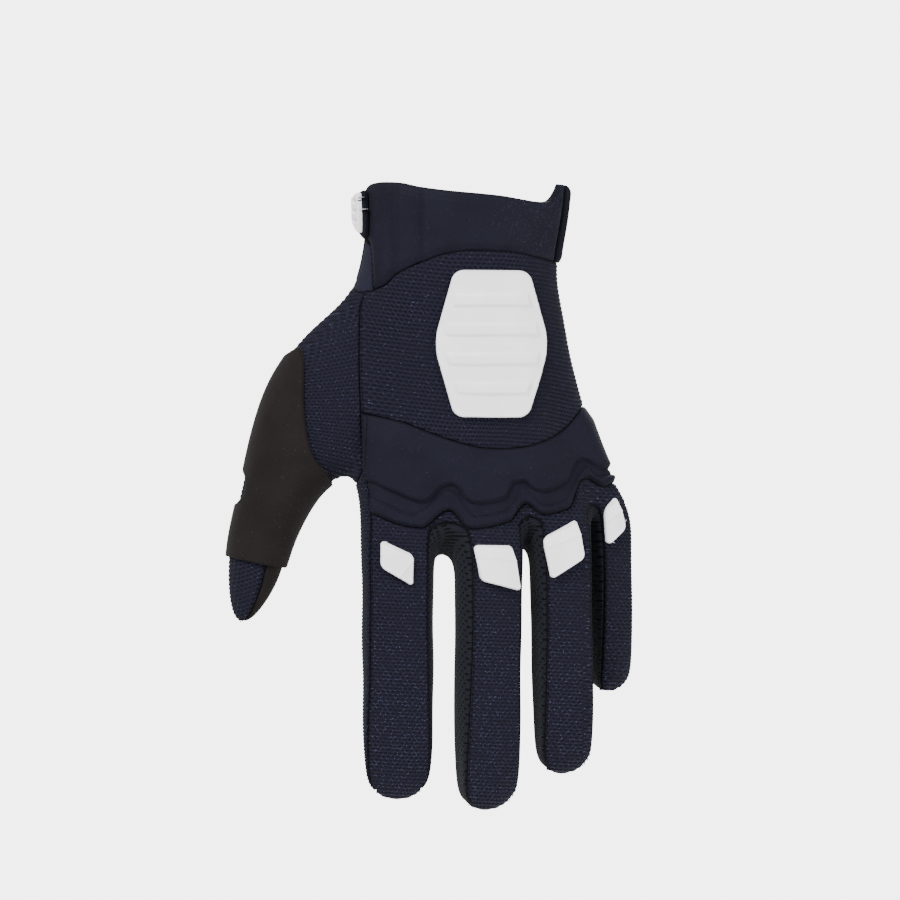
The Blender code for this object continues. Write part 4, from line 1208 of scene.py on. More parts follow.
def mesh_material():
    """Stretch mesh with a slanting grid of small holes. The holes are real; their darkness is painted shade,
    as is the darkening along the seams.
    """
    base = tuple(colours().mesh)
    material, tree, shader = fresh_material("black_mesh", base, 0.8, 0.02, 0.08)
    weave = tree.node("ShaderNodeAttribute", attribute_name=WEAVE).outputs["Vector"]
    grid = tree.node("ShaderNodeMapping", {"Vector": weave, "Rotation": (0, 0, math.radians(38))})
    grid.inputs["Scale"].default_value = (1 / sizes().hole_pitch,) * 3
    along, drop, _ = tree.node("ShaderNodeSeparateXYZ", {0: grid.outputs[0]}).outputs

    def cell(value):
        return tree.math("SUBTRACT", tree.math("FRACT", value), 0.5)

    off = tree.node("ShaderNodeCombineXYZ", {0: cell(along), 1: cell(drop), 2: 0.0}).outputs[0]
    reach = tree.node("ShaderNodeVectorMath", {0: off}, operation="LENGTH").outputs["Value"]
    solid = tree.span(reach, 0.20, 0.32)
    cord = tree.math("SINE", tree.math("MULTIPLY", drop, 6 * math.pi))
    seam = place_group(tree, "seam_shade", Width=0.9)["Shade"]
    body = tree.mix(tree.span(cord, -1.0, 1.0), tint(base, 0.8), tint(base, 2.0))
    # The holes are painted nearly black: real holes, with painted shade inside them
    body = tree.mix(solid, tint(base, 0.12), body)
    # Painted shade along the rolled seams
    body = tree.mix(seam, tint(base, 0.4), body)
    tree.tree.links.new(body, shader.inputs["Base Color"])
    height = tree.math("ADD", solid, tree.math("MULTIPLY", cord, 0.22))
    bump(tree, shader, height, 0.25 * MM)
    return material


def rubber_material():
    """Satin moulded rubber with a few dark specks, and painted shade that greys its edges."""
    base = tuple(colours().rubber)
    material, tree, shader = fresh_material("white_rubber", base, 0.42, 0.0, 0.45)
    parts = place_group(tree, "fine_grain", Grain=0.35, Specks=0.012)
    rim = place_group(tree, "seam_shade", Width=0.5)["Shade"]
    body = tree.mix(tree.span(parts["Patch"], 0.35, 0.7), tint(base, 0.97), tint(base, 1.03))
    body = tree.mix(tree.math("MULTIPLY", parts["Speck"], 0.4), body, tint(base, 0.35))
    # Painted shade greys the edges of the rubber
    body = tree.mix(tree.span(rim, 0.35, 1.0), tint(base, 0.9), body)
    tree.tree.links.new(body, shader.inputs["Base Color"])
    rough = tree.span(parts["Patch"], 0.3, 0.7, 0.36, 0.5)
    tree.tree.links.new(rough, shader.inputs["Roughness"])
    bump(tree, shader, parts["Height"], 0.02 * MM)
    return material


def glittered_material():
    """The cuff's cloth, with fine bright specks towards the little finger's side."""
    base = tuple(colours().neoprene)
    material = grained_material("cuff_neoprene", base, 0.72, 0.32, 0.04, 0.02, 0.05 * MM)
    tree = Tree(material.node_tree)
    shader = material.node_tree.nodes["Principled BSDF"]
    body = shader.inputs["Base Color"].links[0].from_socket
    across = tree.node("ShaderNodeSeparateXYZ", {0: tree.node("ShaderNodeTexCoord").outputs["Object"]})
    side = tree.span(across.outputs[0], 0.02 * CUFF_WIDTH, 0.40 * CUFF_WIDTH)
    specks = place_group(tree, "fine_grain", Grain=0.3, Specks=0.35)["Speck"]
    glitter = tree.math("MULTIPLY", tree.math("MULTIPLY", specks, side), 0.55)
    body = tree.mix(glitter, body, (*colours().fleck, 1))
    tree.tree.links.new(body, shader.inputs["Base Color"])
    return material


MATERIALS = {}


def material_of(name):
    """A material of the glove, made at its first use."""
    pick = colours()
    makers = {
        "back_knit": lambda: knit_material("back_knit", sizes().rib_pitch, 0.10, 0.10),
        "finger_knit": lambda: knit_material("finger_knit", sizes().finger_pitch, 0.16, 0.42),
        "black_mesh": mesh_material,
        "suede": lambda: grained_material(
            "suede", tuple(pick.suede), 0.95, 0.22, 0.02, 0.05, 0.06 * MM, 0.04),
        "pad_neoprene": lambda: grained_material(
            "pad_neoprene", tuple(pick.neoprene), 0.75, 0.32, 0.03, 0.02, 0.05 * MM),
        "cuff_neoprene": glittered_material,
        "insert": lambda: grained_material("insert", tuple(pick.insert), 0.8, 0.3, 0.05, 0.03, 0.09 * MM),
        "webbing": lambda: grained_material("webbing", tuple(pick.webbing), 0.8, 0.4, 0.02, 0.03, 0.12 * MM),
        "white_rubber": rubber_material,
        "thread": lambda: grained_material("thread", tuple(pick.thread), 0.6, 0.15, 0.0, 0.02, 0.02 * MM),
    }
    if name not in MATERIALS:
        MATERIALS[name] = makers[name]()
    return MATERIALS[name]


# Geometry Nodes

def rib_tree():
    """Raises ribs along the weave, out along the normal and fading at the seams."""
    tree, start, finish = group_of(
        "GeometryNodeTree", "raised_ribs",
        (("Geometry", GEOMETRY, None), ("Pitch", FLOAT, 1.4 * MM), ("Rise", FLOAT, 0.15 * MM),
         ("Cloth", "NodeSocketMaterial", None)),
        (("Geometry", GEOMETRY),))

    def named(name, kind):
        return tree.node("GeometryNodeInputNamedAttribute", {"Name": name}, data_type=kind).outputs[0]

    _, drop, _ = tree.node("ShaderNodeSeparateXYZ", {0: named(WEAVE, "FLOAT_VECTOR")}).outputs
    row = tree.math("DIVIDE", drop, start["Pitch"])
    swell = tree.math("COSINE", tree.math("MULTIPLY", row, 2 * math.pi))
    swell = tree.math("MULTIPLY_ADD", swell, -0.5, 0.5)
    fade = tree.math("MULTIPLY", named(RIM, "FLOAT"), 1 / (0.9 * MM), clamp=True)
    rise = tree.math("MULTIPLY", tree.math("MULTIPLY", swell, start["Rise"]), fade)
    rise = tree.math("MULTIPLY", rise, named(OUTER, "FLOAT"))
    normal = tree.node("GeometryNodeInputNormal").outputs[0]
    offset = tree.node("ShaderNodeVectorMath", {0: normal, 3: rise}, operation="SCALE").outputs[0]
    moved = tree.node("GeometryNodeSetPosition", {"Geometry": start["Geometry"], "Offset": offset}).outputs[0]
    real = tree.node("GeometryNodeRealizeInstances", {"Geometry": moved}).outputs[0]
    done = tree.node("GeometryNodeSetMaterial", {"Geometry": real, "Material": start["Cloth"]}).outputs[0]
    tree.tree.links.new(done, finish["Geometry"])
    return tree.tree


def stitch_tree():
    """Lays a thread's stitches along every line of the mesh."""
    tree, start, finish = group_of(
        "GeometryNodeTree", "stitch_rows",
        (("Geometry", GEOMETRY, None), ("Pitch", FLOAT, 1.9 * MM), ("Length", FLOAT, 1.3 * MM),
         ("Thread", FLOAT, 0.3 * MM), ("Slant", FLOAT, 0.0), ("Seed", "NodeSocketInt", 3),
         ("Cloth", "NodeSocketMaterial", None)),
        (("Geometry", GEOMETRY),))
    curve = tree.node("GeometryNodeMeshToCurve", {"Mesh": start["Geometry"]}).outputs[0]
    points = tree.node(
        "GeometryNodeResampleCurve", {"Curve": curve, "Length": start["Pitch"]}, mode="LENGTH").outputs[0]
    half = tree.math("DIVIDE", start["Thread"], 2.0)
    ball = tree.node(
        "GeometryNodeMeshUVSphere", {"Segments": 5, "Rings": 4, "Radius": 0.5}).outputs["Mesh"]
    size = tree.node("ShaderNodeCombineXYZ", {0: start["Thread"], 1: start["Thread"], 2: start["Length"]})
    shaped = tree.node("GeometryNodeTransform", {"Geometry": ball, "Scale": size.outputs[0]}).outputs[0]
    tangent = tree.node("GeometryNodeInputTangent").outputs[0]
    turned = tree.node(
        "FunctionNodeAlignRotationToVector", {"Vector": tangent}, axis="Z").outputs[0]
    number = tree.node("GeometryNodeInputIndex").outputs[0]
    parity = tree.math("MULTIPLY_ADD", tree.math("MODULO", number, 2.0), 2.0, -1.0)
    random = tree.node(
        "FunctionNodeRandomValue", {2: -0.09, 3: 0.09, "Seed": start["Seed"]}, data_type="FLOAT").outputs[1]
    angle = tree.math("ADD", tree.math("MULTIPLY", parity, start["Slant"]), random)
    face = tree.node(
        "GeometryNodeInputNamedAttribute", {"Name": "facing"}, data_type="FLOAT_VECTOR").outputs[0]
    spin = tree.node("FunctionNodeAxisAngleToRotation", {"Axis": face, "Angle": angle}).outputs[0]
    turned = tree.node("FunctionNodeRotateRotation", {0: turned, 1: spin}, rotation_space="GLOBAL").outputs[0]
    lift = tree.node("ShaderNodeVectorMath", {0: face, 3: half}, operation="SCALE").outputs[0]
    raised = tree.node("GeometryNodeSetPosition", {"Geometry": points, "Offset": lift}).outputs[0]
    rows = tree.node(
        "GeometryNodeInstanceOnPoints", {"Points": raised, "Instance": shaped, "Rotation": turned}).outputs[0]
    real = tree.node("GeometryNodeRealizeInstances", {"Geometry": rows}).outputs[0]
    done = tree.node("GeometryNodeSetMaterial", {"Geometry": real, "Material": start["Cloth"]}).outputs[0]
    tree.tree.links.new(done, finish["Geometry"])
    return tree.tree


TREES = {}


def grow(piece, tree_name, **inputs):
    """Runs a geometry node tree on the piece and keeps the result as its plain mesh."""
    makers = {"raised_ribs": rib_tree, "stitch_rows": stitch_tree}
    if tree_name not in TREES:
        TREES[tree_name] = makers[tree_name]()
    tree = TREES[tree_name]
    modifier = piece.modifiers.new(tree_name, "NODES")
    modifier.node_group = tree
    keys = {item.name: item.identifier for item in tree.interface.items_tree if item.in_out == "INPUT"}
    for name, value in inputs.items():
        modifier[keys[name]] = value
    bpy.context.view_layer.update()
    graph = bpy.context.evaluated_depsgraph_get()
    mesh = bpy.data.meshes.new_from_object(piece.evaluated_get(graph))
    piece.modifiers.remove(modifier)
    old = piece.data
    piece.data = mesh
    bpy.data.meshes.remove(old)
    mesh.name = piece.name
    return piece


def rib_rows(piece, pitch, material):
    """Splits the outer side's edges that cross the ribs, and raises the ribs."""
    bm = bmesh.new()
    bm.from_mesh(piece.data)
    weave = bm.verts.layers.float_vector[WEAVE]
    outer = bm.verts.layers.float[OUTER]
    for _ in range(4):
        bm.normal_update()
        chosen = []
        for edge in bm.edges:
            a, b = edge.verts
            if a[outer] < 0.5 or b[outer] < 0.5:
                continue
            way = b[weave] - a[weave]
            if abs(way.y) > RIB_EDGE and abs(way.y) > abs(way.x):
                chosen.append(edge)
        if not chosen:
            break
        split_edges(bm, chosen)
    bm.to_mesh(piece.data)
    bm.free()
    piece.data.shade_smooth()
    piece.data.set_sharp_from_angle(angle=math.radians(60))
    grow(piece, "raised_ribs", Pitch=pitch, Rise=sizes().rib_rise, Cloth=material)


# Relief of the thick and moulded pieces

def flat_edge(p, distance):
    return rolled(distance)


def pad_relief(p, distance):
    """The guard's foam: a raised rim along its zigzag foot, a sunk band, and the plain pad."""
    to_foot, to_band, to_pad = above(PAD_FOOT_LINE)(p), above(BAND_FOOT_LINE)(p), above(BAND_TOP_LINE)(p)
    band = through(BAND_TOP_LINE, p[:, 0]) - through(BAND_FOOT_LINE, p[:, 0])
    open_band = step_up(band, 0.2 * MM, 1.5 * MM)
    rise = PAD_EDGE + (PAD_RIM - PAD_EDGE) * step_up(to_foot, 0, 1.6 * MM)
    rise -= PAD_BAND_DROP * step_up(to_band, -0.5 * MM, 0.45 * MM) * open_band
    lift = PAD_TOP * step_up(to_pad, -0.5 * MM, 1.4 * MM) * open_band + PAD_TOP * (1 - open_band)
    from_top = through(PAD_TOP_LINE, p[:, 0]) - p[:, 2]
    lift = np.minimum(lift, PAD_TOP * step_up(from_top, 0, 2 * PAD_ROLL))
    rise = rise + lift - GROOVE * (ridge(to_band, 0.8 * MM) + ridge(to_pad, 0.8 * MM)) * open_band
    return rise * step_up(distance, -1.0 * MM, 1.4 * MM) + rolled(distance)


def cuff_relief(p, distance):
    """The cuff's foam stands proud, with two grooves down it and a hem under its top edge."""
    rise = CUFF_RISE * step_up(distance, 0, CUFF_ROLL)
    for welt in WELTS:
        away = p[:, 0] - welt * CUFF_WIDTH
        rise -= GROOVE * 1.5 * ridge(away, WELT_WIDTH)
        rise += GROOVE * 0.9 * ridge(away - 1.3 * WELT_WIDTH, WELT_WIDTH)
    hem = cuff_top_z(p) - p[:, 2] - CUFF_HEM
    return rise - 0.6 * GROOVE * ridge(hem, 0.6 * MM) + rolled(distance)


def binding_relief(p, distance):
    return BINDING_RISE * np.sqrt(np.clip(distance / (BINDING_WIDTH / 2), 0.02, 1))


Panel = namedtuple("Panel", "name wall relief material slot weave pitch fine")
KNIT, FINGER_KNIT = "back_knit", "finger_knit"


def panel_table():
    """Every panel of the hand's own surface. Its pitch is set where ribs are raised on it."""
    rib, finger_rib = sizes().rib_pitch, sizes().finger_pitch
    return (
        Panel("cuff_back", NEOPRENE_WALL, cuff_relief, "cuff_neoprene", "navy_neoprene", None, 0, True),
        Panel("cuff_front", NEOPRENE_WALL, cuff_relief, "cuff_neoprene", "navy_neoprene", None, 0, True),
        Panel("cuff_insert", INSERT_WALL, flat_edge, "insert", "navy_neoprene", None, 0, True),
        Panel("cuff_binding", NEOPRENE_WALL, binding_relief, "webbing", "black_webbing", None, 0, True),
        Panel("back_panel", KNIT_WALL, flat_edge, KNIT, "navy_knit", palm_weave, rib, True),
        Panel("thumb_gusset", KNIT_WALL, flat_edge, KNIT, "navy_knit", gusset_weave, rib, True),
        Panel("knuckle_pad", PAD_WALL, pad_relief, "pad_neoprene", "navy_neoprene", None, 0, True),
        Panel("finger_backs", KNIT_WALL, flat_edge, FINGER_KNIT, "navy_knit", finger_weave, finger_rib, True),
        Panel("index_side", KNIT_WALL, flat_edge, FINGER_KNIT, "navy_knit", side_weave, finger_rib, True),
        Panel("little_side", KNIT_WALL, flat_edge, FINGER_KNIT, "navy_knit", side_weave, finger_rib, True),
        Panel("sidewall_index_middle", MESH_WALL, flat_edge, "black_mesh", "black_mesh", web_weave, 0, False),
        Panel("sidewall_middle_ring", MESH_WALL, flat_edge, "black_mesh", "black_mesh", web_weave, 0, False),
        Panel("sidewall_ring_little", MESH_WALL, flat_edge, "black_mesh", "black_mesh", web_weave, 0, False),
        Panel("palm", SUEDE_WALL, flat_edge, "suede", "brown_black_suede", None, 0, False),
        Panel("thumb_back", KNIT_WALL, flat_edge, KNIT, "navy_knit", thumb_weave, rib, True),
        Panel("thumb_front", SUEDE_WALL, flat_edge, "suede", "brown_black_suede", None, 0, True),
    )


PADDED = {"knuckle_pad": 0.9, "cuff_back": 0.6, "cuff_front": 0.5}
HANDS = {}


def hand(kind):
    """A hand surface, made at its first use: fine, plain, or whole and uncut for what lies on top."""
    if kind not in HANDS:
        if kind == "whole":
            HANDS[kind] = smooth_hand(LEVELS)
        else:
            HANDS[kind] = cut_hand(LEVELS if kind == "fine" else PLAIN_LEVELS, kind == "fine")
            HANDS[kind + " panels"] = panels_of(HANDS[kind])
    return HANDS[kind]


def panel_faces(name, fine=True):
    kind = "fine" if fine else "plain"
    hand(kind)
    return HANDS[kind + " panels"][name]


def make_panels(*names):
    for panel in panel_table():
        if panel.name not in names:
            continue
        faces = panel_faces(panel.name, panel.fine)
        material = material_of(panel.material)
        piece = wall(panel.name, faces, -panel.wall, panel.relief, material, panel.weave)
        if panel.pitch:
            rib_rows(piece, panel.pitch, material)
        settle(piece, panel.name, panel.slot)
        if panel.name in PADDED:
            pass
        elif panel.name != "cuff_binding":
            declare_cloth(faces)


# Stitching

def seam_points(faces, neighbours, inset):
    """Points and facings along the faces' border with its neighbours, a little way in."""
    moves = inward_steps(faces)
    others = set(neighbours)
    links = {}
    for loop in borders(faces):
        if any(f in others for f in loop.edge.link_faces):
            a, b = loop.edge.verts
            links.setdefault(a, []).append(b)
            links.setdefault(b, []).append(a)
    lines = []
    left = dict(links)
    while left:
        start = next((v for v in left if sum(w in left for w in links[v]) == 1), next(iter(left)))
        line = [start]
        del left[start]
        while True:
            following = [w for w in links[line[-1]] if w in left]
            if not following:
                break
            line.append(following[0])
            del left[following[0]]
        if len(line) > 8:
            lines.append([(v.co + moves[v] * inset, v.normal.copy()) for v in line])
    return lines


def thread_lines(name, lines, lift, pitch, length, slant=0.0):
    """Stitches along lines of points and facings, as one piece."""
    points, facings, edges = [], [], []
    for line in lines:
        first = len(points)
        edges += [(first + k, first + k + 1) for k in range(len(line) - 1)]
        points += [place + facing * lift for place, facing in line]
        facings += [facing for _, facing in line]
    mesh = bpy.data.meshes.new(name)
    mesh.from_pydata([p[:] for p in points], edges, [])
    point_layer(mesh, "facing", "FLOAT_VECTOR", np.array([f[:] for f in facings]))
    piece = bpy.data.objects.new(name, mesh)
    bpy.context.scene.collection.objects.link(piece)
    material = material_of("thread")
    grow(
        piece, "stitch_rows", Pitch=pitch, Length=length, Thread=sizes().thread, Slant=slant, Cloth=material)
    piece.data.shade_smooth()
    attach(piece, "root")
    return piece


# Name, panel, its neighbour, how far in from the seam in millimetres, slant in degrees
STITCHED_SEAMS = (
    ("stitches_index_edge", "finger_backs", "index_side", 0.9, 0),
    ("stitches_finger_sides", "finger_backs", "sidewall_index_middle", 0.8, 0),
    ("stitches_middle_ring", "finger_backs", "sidewall_middle_ring", 0.8, 0),
    ("stitches_ring_little", "finger_backs", "sidewall_ring_little", 0.8, 0),
    ("stitches_gusset", "back_panel", "thumb_gusset", 0.8, 0),
    ("stitches_cuff_edge", "cuff_back", "cuff_insert", 0.8, 42),
    ("stitches_thumb_seam", "thumb_back", "thumb_front", 0.8, 0),
)


def make_stitching():
    for name, panel, neighbour, inset, slant in STITCHED_SEAMS:
        faces = panel_faces(panel)
        lines = seam_points(faces, panel_faces(neighbour), inset * MM)
        thread_lines(
            name, lines, 0.05 * MM, sizes().stitch_pitch, sizes().stitch_length, math.radians(slant))


# What lies on the panels

def even(height):
    """A high side at this height, with a rounded edge."""
    return lambda p, distance: height + rolled(distance, 0.4 * MM, 0.7 * MM)


def thumb_place(p):
    """Points in thumb reaches and drops."""
    return (PALM_EDGE_X - p[:, 0]) / THUMB_REACH, (-CUFF_HEIGHT - p[:, 2]) / THUMB_DROP


def patch_fields():
    right, left = rounded_curve(PATCH_RIGHT), rounded_curve(PATCH_LEFT)
    foot, head = rounded_curve(PATCH_FOOT), rounded_curve(PATCH_HEAD)
    return (
        lambda p: (thumb_place(p)[0] - through(right, thumb_place(p)[1])) * THUMB_REACH,
        lambda p: (through(foot, thumb_place(p)[0]) - thumb_place(p)[1]) * THUMB_DROP,
        lambda p: (thumb_place(p)[1] - through(head, thumb_place(p)[0])) * THUMB_DROP,
        lambda p: (through(left, thumb_place(p)[1]) - thumb_place(p)[0]) * THUMB_REACH,
        lambda p: PATCH_DEPTH * THUMB_DEPTH - p[:, 1],
    )


def make_thumb_patch():
    field = rounded_outline(patch_fields(), 0.8 * MM)
    piece, area = overlay(
        "thumb_patch", hand("whole"), THUMB_REGIONS, lambda p: field(p) > -4 * MM, 0.8 * MM, field,
        LAYER_GAP, even(LAYER_GAP + OVERLAY_WALL), material_of("suede"))
    settle(piece, "thumb_patch", "brown_black_suede")


def own_sides(i, field):
    """The field, read across the finger's own side direction instead of straight across."""
    root, side = np.array(ROOTS[i][0]), np.array(ROOTS[i][1])

    def turned(p):
        flat = np.zeros_like(p)
        flat[:, 0] = (p - root) @ side
        flat[:, 2] = p[:, 2]
        return field(flat)
    return turned


def guard_relief(crease, field):
    """A guard's top: a bead round its edge, and a slope down beyond its crease."""
    def high(p, distance):
        beyond = np.maximum(0, crease(p))
        fall = np.minimum(GUARD_FALL * beyond, 0.7 * GUARD_WALL)
        fall -= 0.5 * GUARD_BEAD * ridge(crease(p), 0.6 * MM)
        bead = GUARD_BEAD * ridge(distance - 0.45 * MM, 0.45 * MM)
        crown = 0.25 * MM * np.clip(field(p) / (5 * MM), 0, 1)
        top = LAYER_GAP + GUARD_WALL + bead + crown - fall
        return top + rolled(distance, 0.35 * MM, 0.3 * MM)
    return high


def make_guards():
    for i, finger in enumerate(FINGERS):
        top = finger_top(i)

        def placed(points):
            return [(across * finger.width, top - drop * finger.length) for across, drop in points]

        root, back = np.array(ROOTS[i][0]), np.array(ROOTS[i][2])
        front = GUARD_FRONT * finger.depth
        sides = [own_sides(i, one) for one in outline_fields(placed(GUARD_CORNERS[finger.name]))]
        sides.append(lambda p: (p - root) @ back - front)
        field = rounded_outline(sides, GUARD_CORNER)
        a, b = placed(GUARD_CREASES[finger.name])
        crease = own_sides(i, half_plane(b, a))
        regions = FINGER_BACK + i, FINGER_SIDE + i, FINGER_SIDE + i + 1, BACK
        piece, _ = overlay(
            f"guard_{finger.name}", hand("whole"), regions,
            lambda p: field(p) > -2.5 * MM, SMALL_EDGE, field,
            LAYER_GAP, guard_relief(crease, field), material_of("white_rubber"))
        settle(piece, f"guard_{finger.name}", "white_rubber")


def make_plate():
    """A plain barred plate of rubber on the back of the hand."""
    x, z = back_line([PLATE_CENTRE])[0]
    corners = [(x + u * PLATE_WIDTH, z + v * PLATE_HEIGHT) for u, v in PLATE_OUTLINE]
    field = rounded_outline(outline_fields(corners), PLATE_CORNER)

    def high(p, distance):
        rise = np.zeros(len(p))
        for bar in PLATE_BARS:
            away = PLATE_BAR_WIDTH / 2 - np.abs(p[:, 2] - z - bar * PLATE_HEIGHT)
            inside = np.minimum(away, distance - 3 * MM)
            rise = np.maximum(rise, step_up(inside, -0.3 * MM, 0.7 * MM))
        rim = ridge(distance - 0.6 * MM, 0.6 * MM)
        top = LAYER_GAP + PLATE_WALL + PLATE_BAR_RISE * rise + 0.2 * MM * rim
        return top + rolled(distance, 0.4 * MM, 0.35 * MM)

    piece, _ = overlay(
        "back_plate", hand("whole"), (BACK,), lambda p: field(p) > -3 * MM, RELIEF_EDGE, field,
        LAYER_GAP, high, material_of("white_rubber"))
    settle(piece, "back_plate", "white_rubber")


def band_fields(edges, start, finish, margin=0.0):
    """Fields of a band round the palm side of the cuff, from the thumb's side to the other."""
    tops = [(share * CUFF_DEPTH, top * CUFF_HEIGHT) for share, top, _ in edges]
    feet = [(share * CUFF_DEPTH, foot * CUFF_HEIGHT) for share, _, foot in edges]
    return [
        lambda p: through(tops, p[:, 1]) - p[:, 2] - margin,
        lambda p: p[:, 2] - through(feet, p[:, 1]) - margin,
        lambda p: p[:, 1] - np.where(p[:, 0] < 0, start, finish) * CUFF_DEPTH - margin,
    ]


def tab_relief(base):
    """The tab's top: fine ridges round its grip, and three plain slots on its flat."""
    def high(p, distance):
        ribs = 0.5 + 0.5 * np.cos(p[:, 2] / TAB_RIDGE * 2 * math.pi)
        grip = step_up(p[:, 1], TAB_SLOTS_END * CUFF_DEPTH, TAB_SLOTS_END * CUFF_DEPTH + 0.6 * MM)
        rise = TAB_RELIEF * ribs * grip
        slots = np.zeros(len(p))
        for share in (0.12, 0.22, 0.32):
            slot = np.abs(p[:, 2] + share * CUFF_HEIGHT)
            slots = np.maximum(slots, 1 - step_up(slot, 0.5 * MM, 0.9 * MM))
        slots *= (1 - grip) * step_up(distance, 0.7 * MM, 1.1 * MM)
        return base + rise - 0.7 * MM * slots + rolled(distance, 0.4 * MM, 0.4 * MM)
    return high


def make_strap():
    """The closing strap round the palm side, the pad it grips and the tab on its end."""
    strap_base = LAYER_GAP + CLOSURE_WALL + LAYER_GAP
    tab_base = strap_base + STRAP_WALL + LAYER_GAP
    strap = band_fields(STRAP_EDGES, STRAP_START, STRAP_FINISH)
    closure = band_fields(STRAP_EDGES, CLOSURE_START, STRAP_FINISH, CLOSURE_MARGIN)
    closure.append(lambda p: CLOSURE_FINISH * CUFF_DEPTH - p[:, 1])
    tab = band_fields(TAB_EDGES, TAB_EDGES[0][0], STRAP_FINISH)
    tab.append(lambda p: TAB_FINISH * CUFF_DEPTH - p[:, 1])
    thumb_half = [lambda p: -p[:, 0]]
    pieces = (
        ("wrist_strap", strap, strap_base, even(strap_base + STRAP_WALL), "webbing", "black_webbing", 1.2),
        ("closure_pad", closure + thumb_half, LAYER_GAP, even(LAYER_GAP + CLOSURE_WALL), "webbing",
         "black_webbing", 1.0),
        ("strap_tab", tab + thumb_half, tab_base, tab_relief(tab_base + TAB_WALL), "white_rubber",
         "white_rubber", 0.24),
    )
    for name, fields, low, high, material, slot, longest in pieces:
        field = rounded_outline(fields, 1.0 * MM)
        piece, _ = overlay(
            name, hand("whole"), PALM_REGIONS, lambda p, f=field: (p[:, 2] > -CUFF_HEIGHT) & (f(p) > -4 * MM),
            longest * MM, field, low, high, material_of(material))
        settle(piece, name, slot)


# Stage

CAMERA_AWAY = 1.5
VIEW_WIDTH = 310.5 * MM
VIEW_CENTRE = (-7.2 * MM, -89.7 * MM)
FLOOR_Z = -0.36
ROOM_LIGHT = 0.7
BACKDROP_LIGHT = 5.0
LIGHTS = (
    ("key_light", (-0.60, -0.90, 0.75), 0.6, 38.0),
    ("fill_light", (0.95, -0.70, 0.05), 0.7, 16.0),
    ("back_light", (0.25, 0.95, 0.45), 0.9, 16.0),
)


def make_stage():
    bpy.ops.mesh.primitive_plane_add(size=1.3, location=(0, 0, FLOOR_Z))
    floor = bpy.context.object
    floor.name = "floor"
    paint, _, _ = fresh_material("pale_floor", (0.82, 0.82, 0.82), 0.8)
    floor.data.materials.append(paint)
    scene = bpy.context.scene
    world = bpy.data.worlds.new("pale_studio")
    world.use_nodes = True
    tree = Tree(world.node_tree)
    seen = tree.node("ShaderNodeLightPath").outputs["Is Camera Ray"]
    strength = tree.span(seen, 0.0, 1.0, ROOM_LIGHT, BACKDROP_LIGHT)
    tree.tree.links.new(strength, world.node_tree.nodes["Background"].inputs["Strength"])
    world.node_tree.nodes["Background"].inputs["Color"].default_value = (1, 1, 1, 1)
    scene.world = world
    middle = Vector((VIEW_CENTRE[0], 0, VIEW_CENTRE[1]))
    for name, place, width, power in LIGHTS:
        light = bpy.data.lights.new(name, "AREA")
        light.size = width
        light.energy = power
        lamp = bpy.data.objects.new(name, light)
        lamp.location = place
        lamp.rotation_euler = (middle - Vector(place)).to_track_quat("-Z", "Y").to_euler()
        scene.collection.objects.link(lamp)
    camera = bpy.data.cameras.new("camera")
    camera.sensor_width = 36
    camera.lens = 36 * CAMERA_AWAY / VIEW_WIDTH
    camera.clip_start = 0.05
    eye = bpy.data.objects.new("camera", camera)
    eye.location = (VIEW_CENTRE[0], -CAMERA_AWAY, VIEW_CENTRE[1])
    eye.rotation_euler = (math.pi / 2, 0, 0)
    scene.collection.objects.link(eye)
    scene.camera = eye


# Operators

class GLOVE_OT_cuff(bpy.types.Operator):
    """Makes the cuff's foam panels, its insert and its edge binding"""
    bl_idname = "glove.cuff"
    bl_label = "Cuff"

    def execute(self, context):
        make_panels("cuff_back", "cuff_front", "cuff_insert", "cuff_binding")
        return {"FINISHED"}


class GLOVE_OT_back(bpy.types.Operator):
    """Makes the ribbed back of the hand and the thumb's gusset"""
    bl_idname = "glove.back"
    bl_label = "Back"

    def execute(self, context):
        make_panels("back_panel", "thumb_gusset")
        return {"FINISHED"}


class GLOVE_OT_knuckle_pad(bpy.types.Operator):
    """Makes the moulded guard over the knuckles"""
    bl_idname = "glove.knuckle_pad"
    bl_label = "Knuckle pad"

    def execute(self, context):
        make_panels("knuckle_pad")
        return {"FINISHED"}


class GLOVE_OT_fingers(bpy.types.Operator):
    """Makes the fingers' ribbed backs, outer sides and mesh walls"""
    bl_idname = "glove.fingers"
    bl_label = "Fingers"

    def execute(self, context):
        make_panels(
            "finger_backs", "index_side", "little_side", "sidewall_index_middle",
            "sidewall_middle_ring", "sidewall_ring_little")
        return {"FINISHED"}


class GLOVE_OT_palm(bpy.types.Operator):
    """Makes the suede palm with the fronts of the fingers"""
    bl_idname = "glove.palm"
    bl_label = "Palm"

    def execute(self, context):
        make_panels("palm")
        return {"FINISHED"}


class GLOVE_OT_thumb(bpy.types.Operator):
    """Makes the thumb's end and the suede patch over it"""
    bl_idname = "glove.thumb"
    bl_label = "Thumb"

    def execute(self, context):
        make_panels("thumb_back", "thumb_front")
        make_thumb_patch()
        return {"FINISHED"}


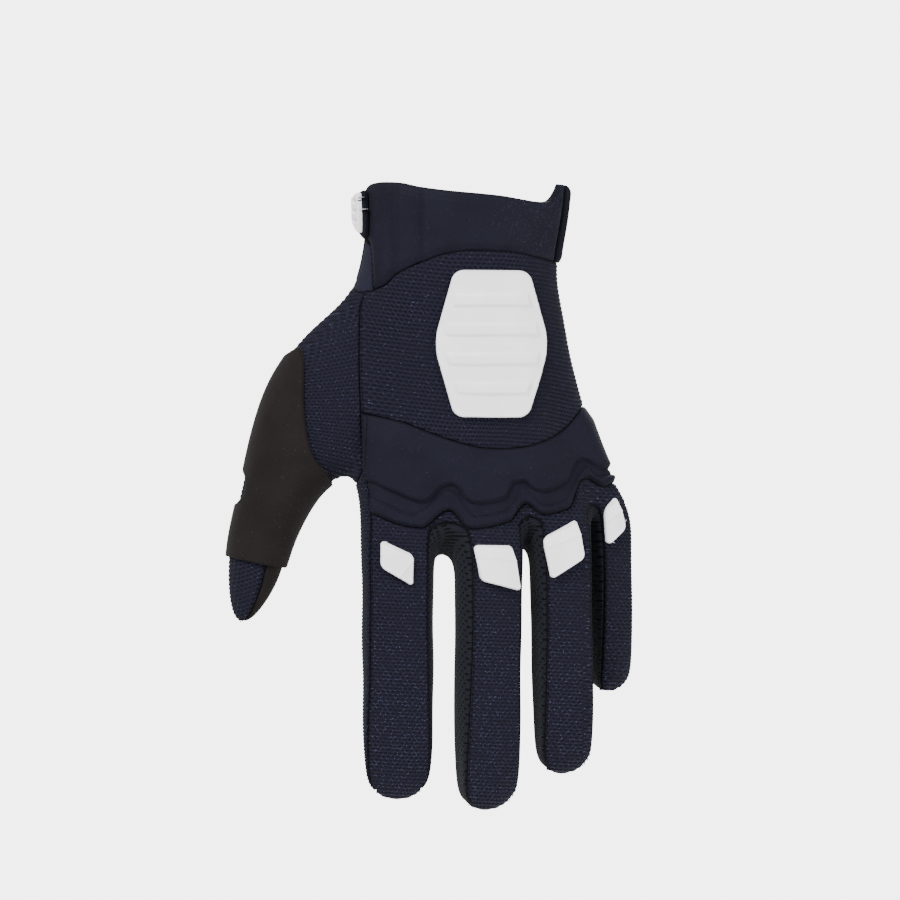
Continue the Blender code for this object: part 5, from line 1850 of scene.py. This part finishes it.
class GLOVE_OT_strap(bpy.types.Operator):
    """Makes the closing strap, the pad that it grips and its rubber tab"""
    bl_idname = "glove.strap"
    bl_label = "Strap"

    def execute(self, context):
        make_strap()
        return {"FINISHED"}


class GLOVE_OT_rubber(bpy.types.Operator):
    """Makes the rubber guards on the fingers and the plate on the back"""
    bl_idname = "glove.rubber"
    bl_label = "Rubber"

    def execute(self, context):
        make_guards()
        make_plate()
        return {"FINISHED"}


class GLOVE_OT_stitching(bpy.types.Operator):
    """Lays the stitches along the seams"""
    bl_idname = "glove.stitching"
    bl_label = "Stitching"

    def execute(self, context):
        make_stitching()
        return {"FINISHED"}


class GLOVE_OT_stage(bpy.types.Operator):
    """Sets the floor, the lights and the camera"""
    bl_idname = "glove.stage"
    bl_label = "Stage"

    def execute(self, context):
        make_stage()
        return {"FINISHED"}


OPERATORS = (
    GLOVE_OT_stage, GLOVE_OT_cuff, GLOVE_OT_back, GLOVE_OT_knuckle_pad, GLOVE_OT_fingers,
    GLOVE_OT_palm, GLOVE_OT_thumb, GLOVE_OT_strap, GLOVE_OT_rubber, GLOVE_OT_stitching,
)


class GLOVE_PT_panel(bpy.types.Panel):
    """The glove's sizes, colours and steps"""
    bl_idname = "GLOVE_PT_panel"
    bl_label = "Motocross Glove"
    bl_space_type = "VIEW_3D"
    bl_region_type = "UI"
    bl_category = "Glove"

    def draw(self, context):
        for group in (context.scene.glove_sizes, context.scene.glove_colours):
            for name in group.__annotations__:
                self.layout.prop(group, name)
        for operator in OPERATORS:
            self.layout.operator(operator.bl_idname)


CLASSES = (GloveSizes, GloveColours, *OPERATORS, GLOVE_PT_panel)


def register():
    for made in CLASSES:
        bpy.utils.register_class(made)
    bpy.types.Scene.glove_sizes = PointerProperty(type=GloveSizes)
    bpy.types.Scene.glove_colours = PointerProperty(type=GloveColours)


def unregister():
    del bpy.types.Scene.glove_sizes
    del bpy.types.Scene.glove_colours
    for made in reversed(CLASSES):
        bpy.utils.unregister_class(made)


def main():
    register()
    for operator in OPERATORS:
        group, name = operator.bl_idname.split(".")
        getattr(getattr(bpy.ops, group), name)()


if __name__ == "__main__":
    main()
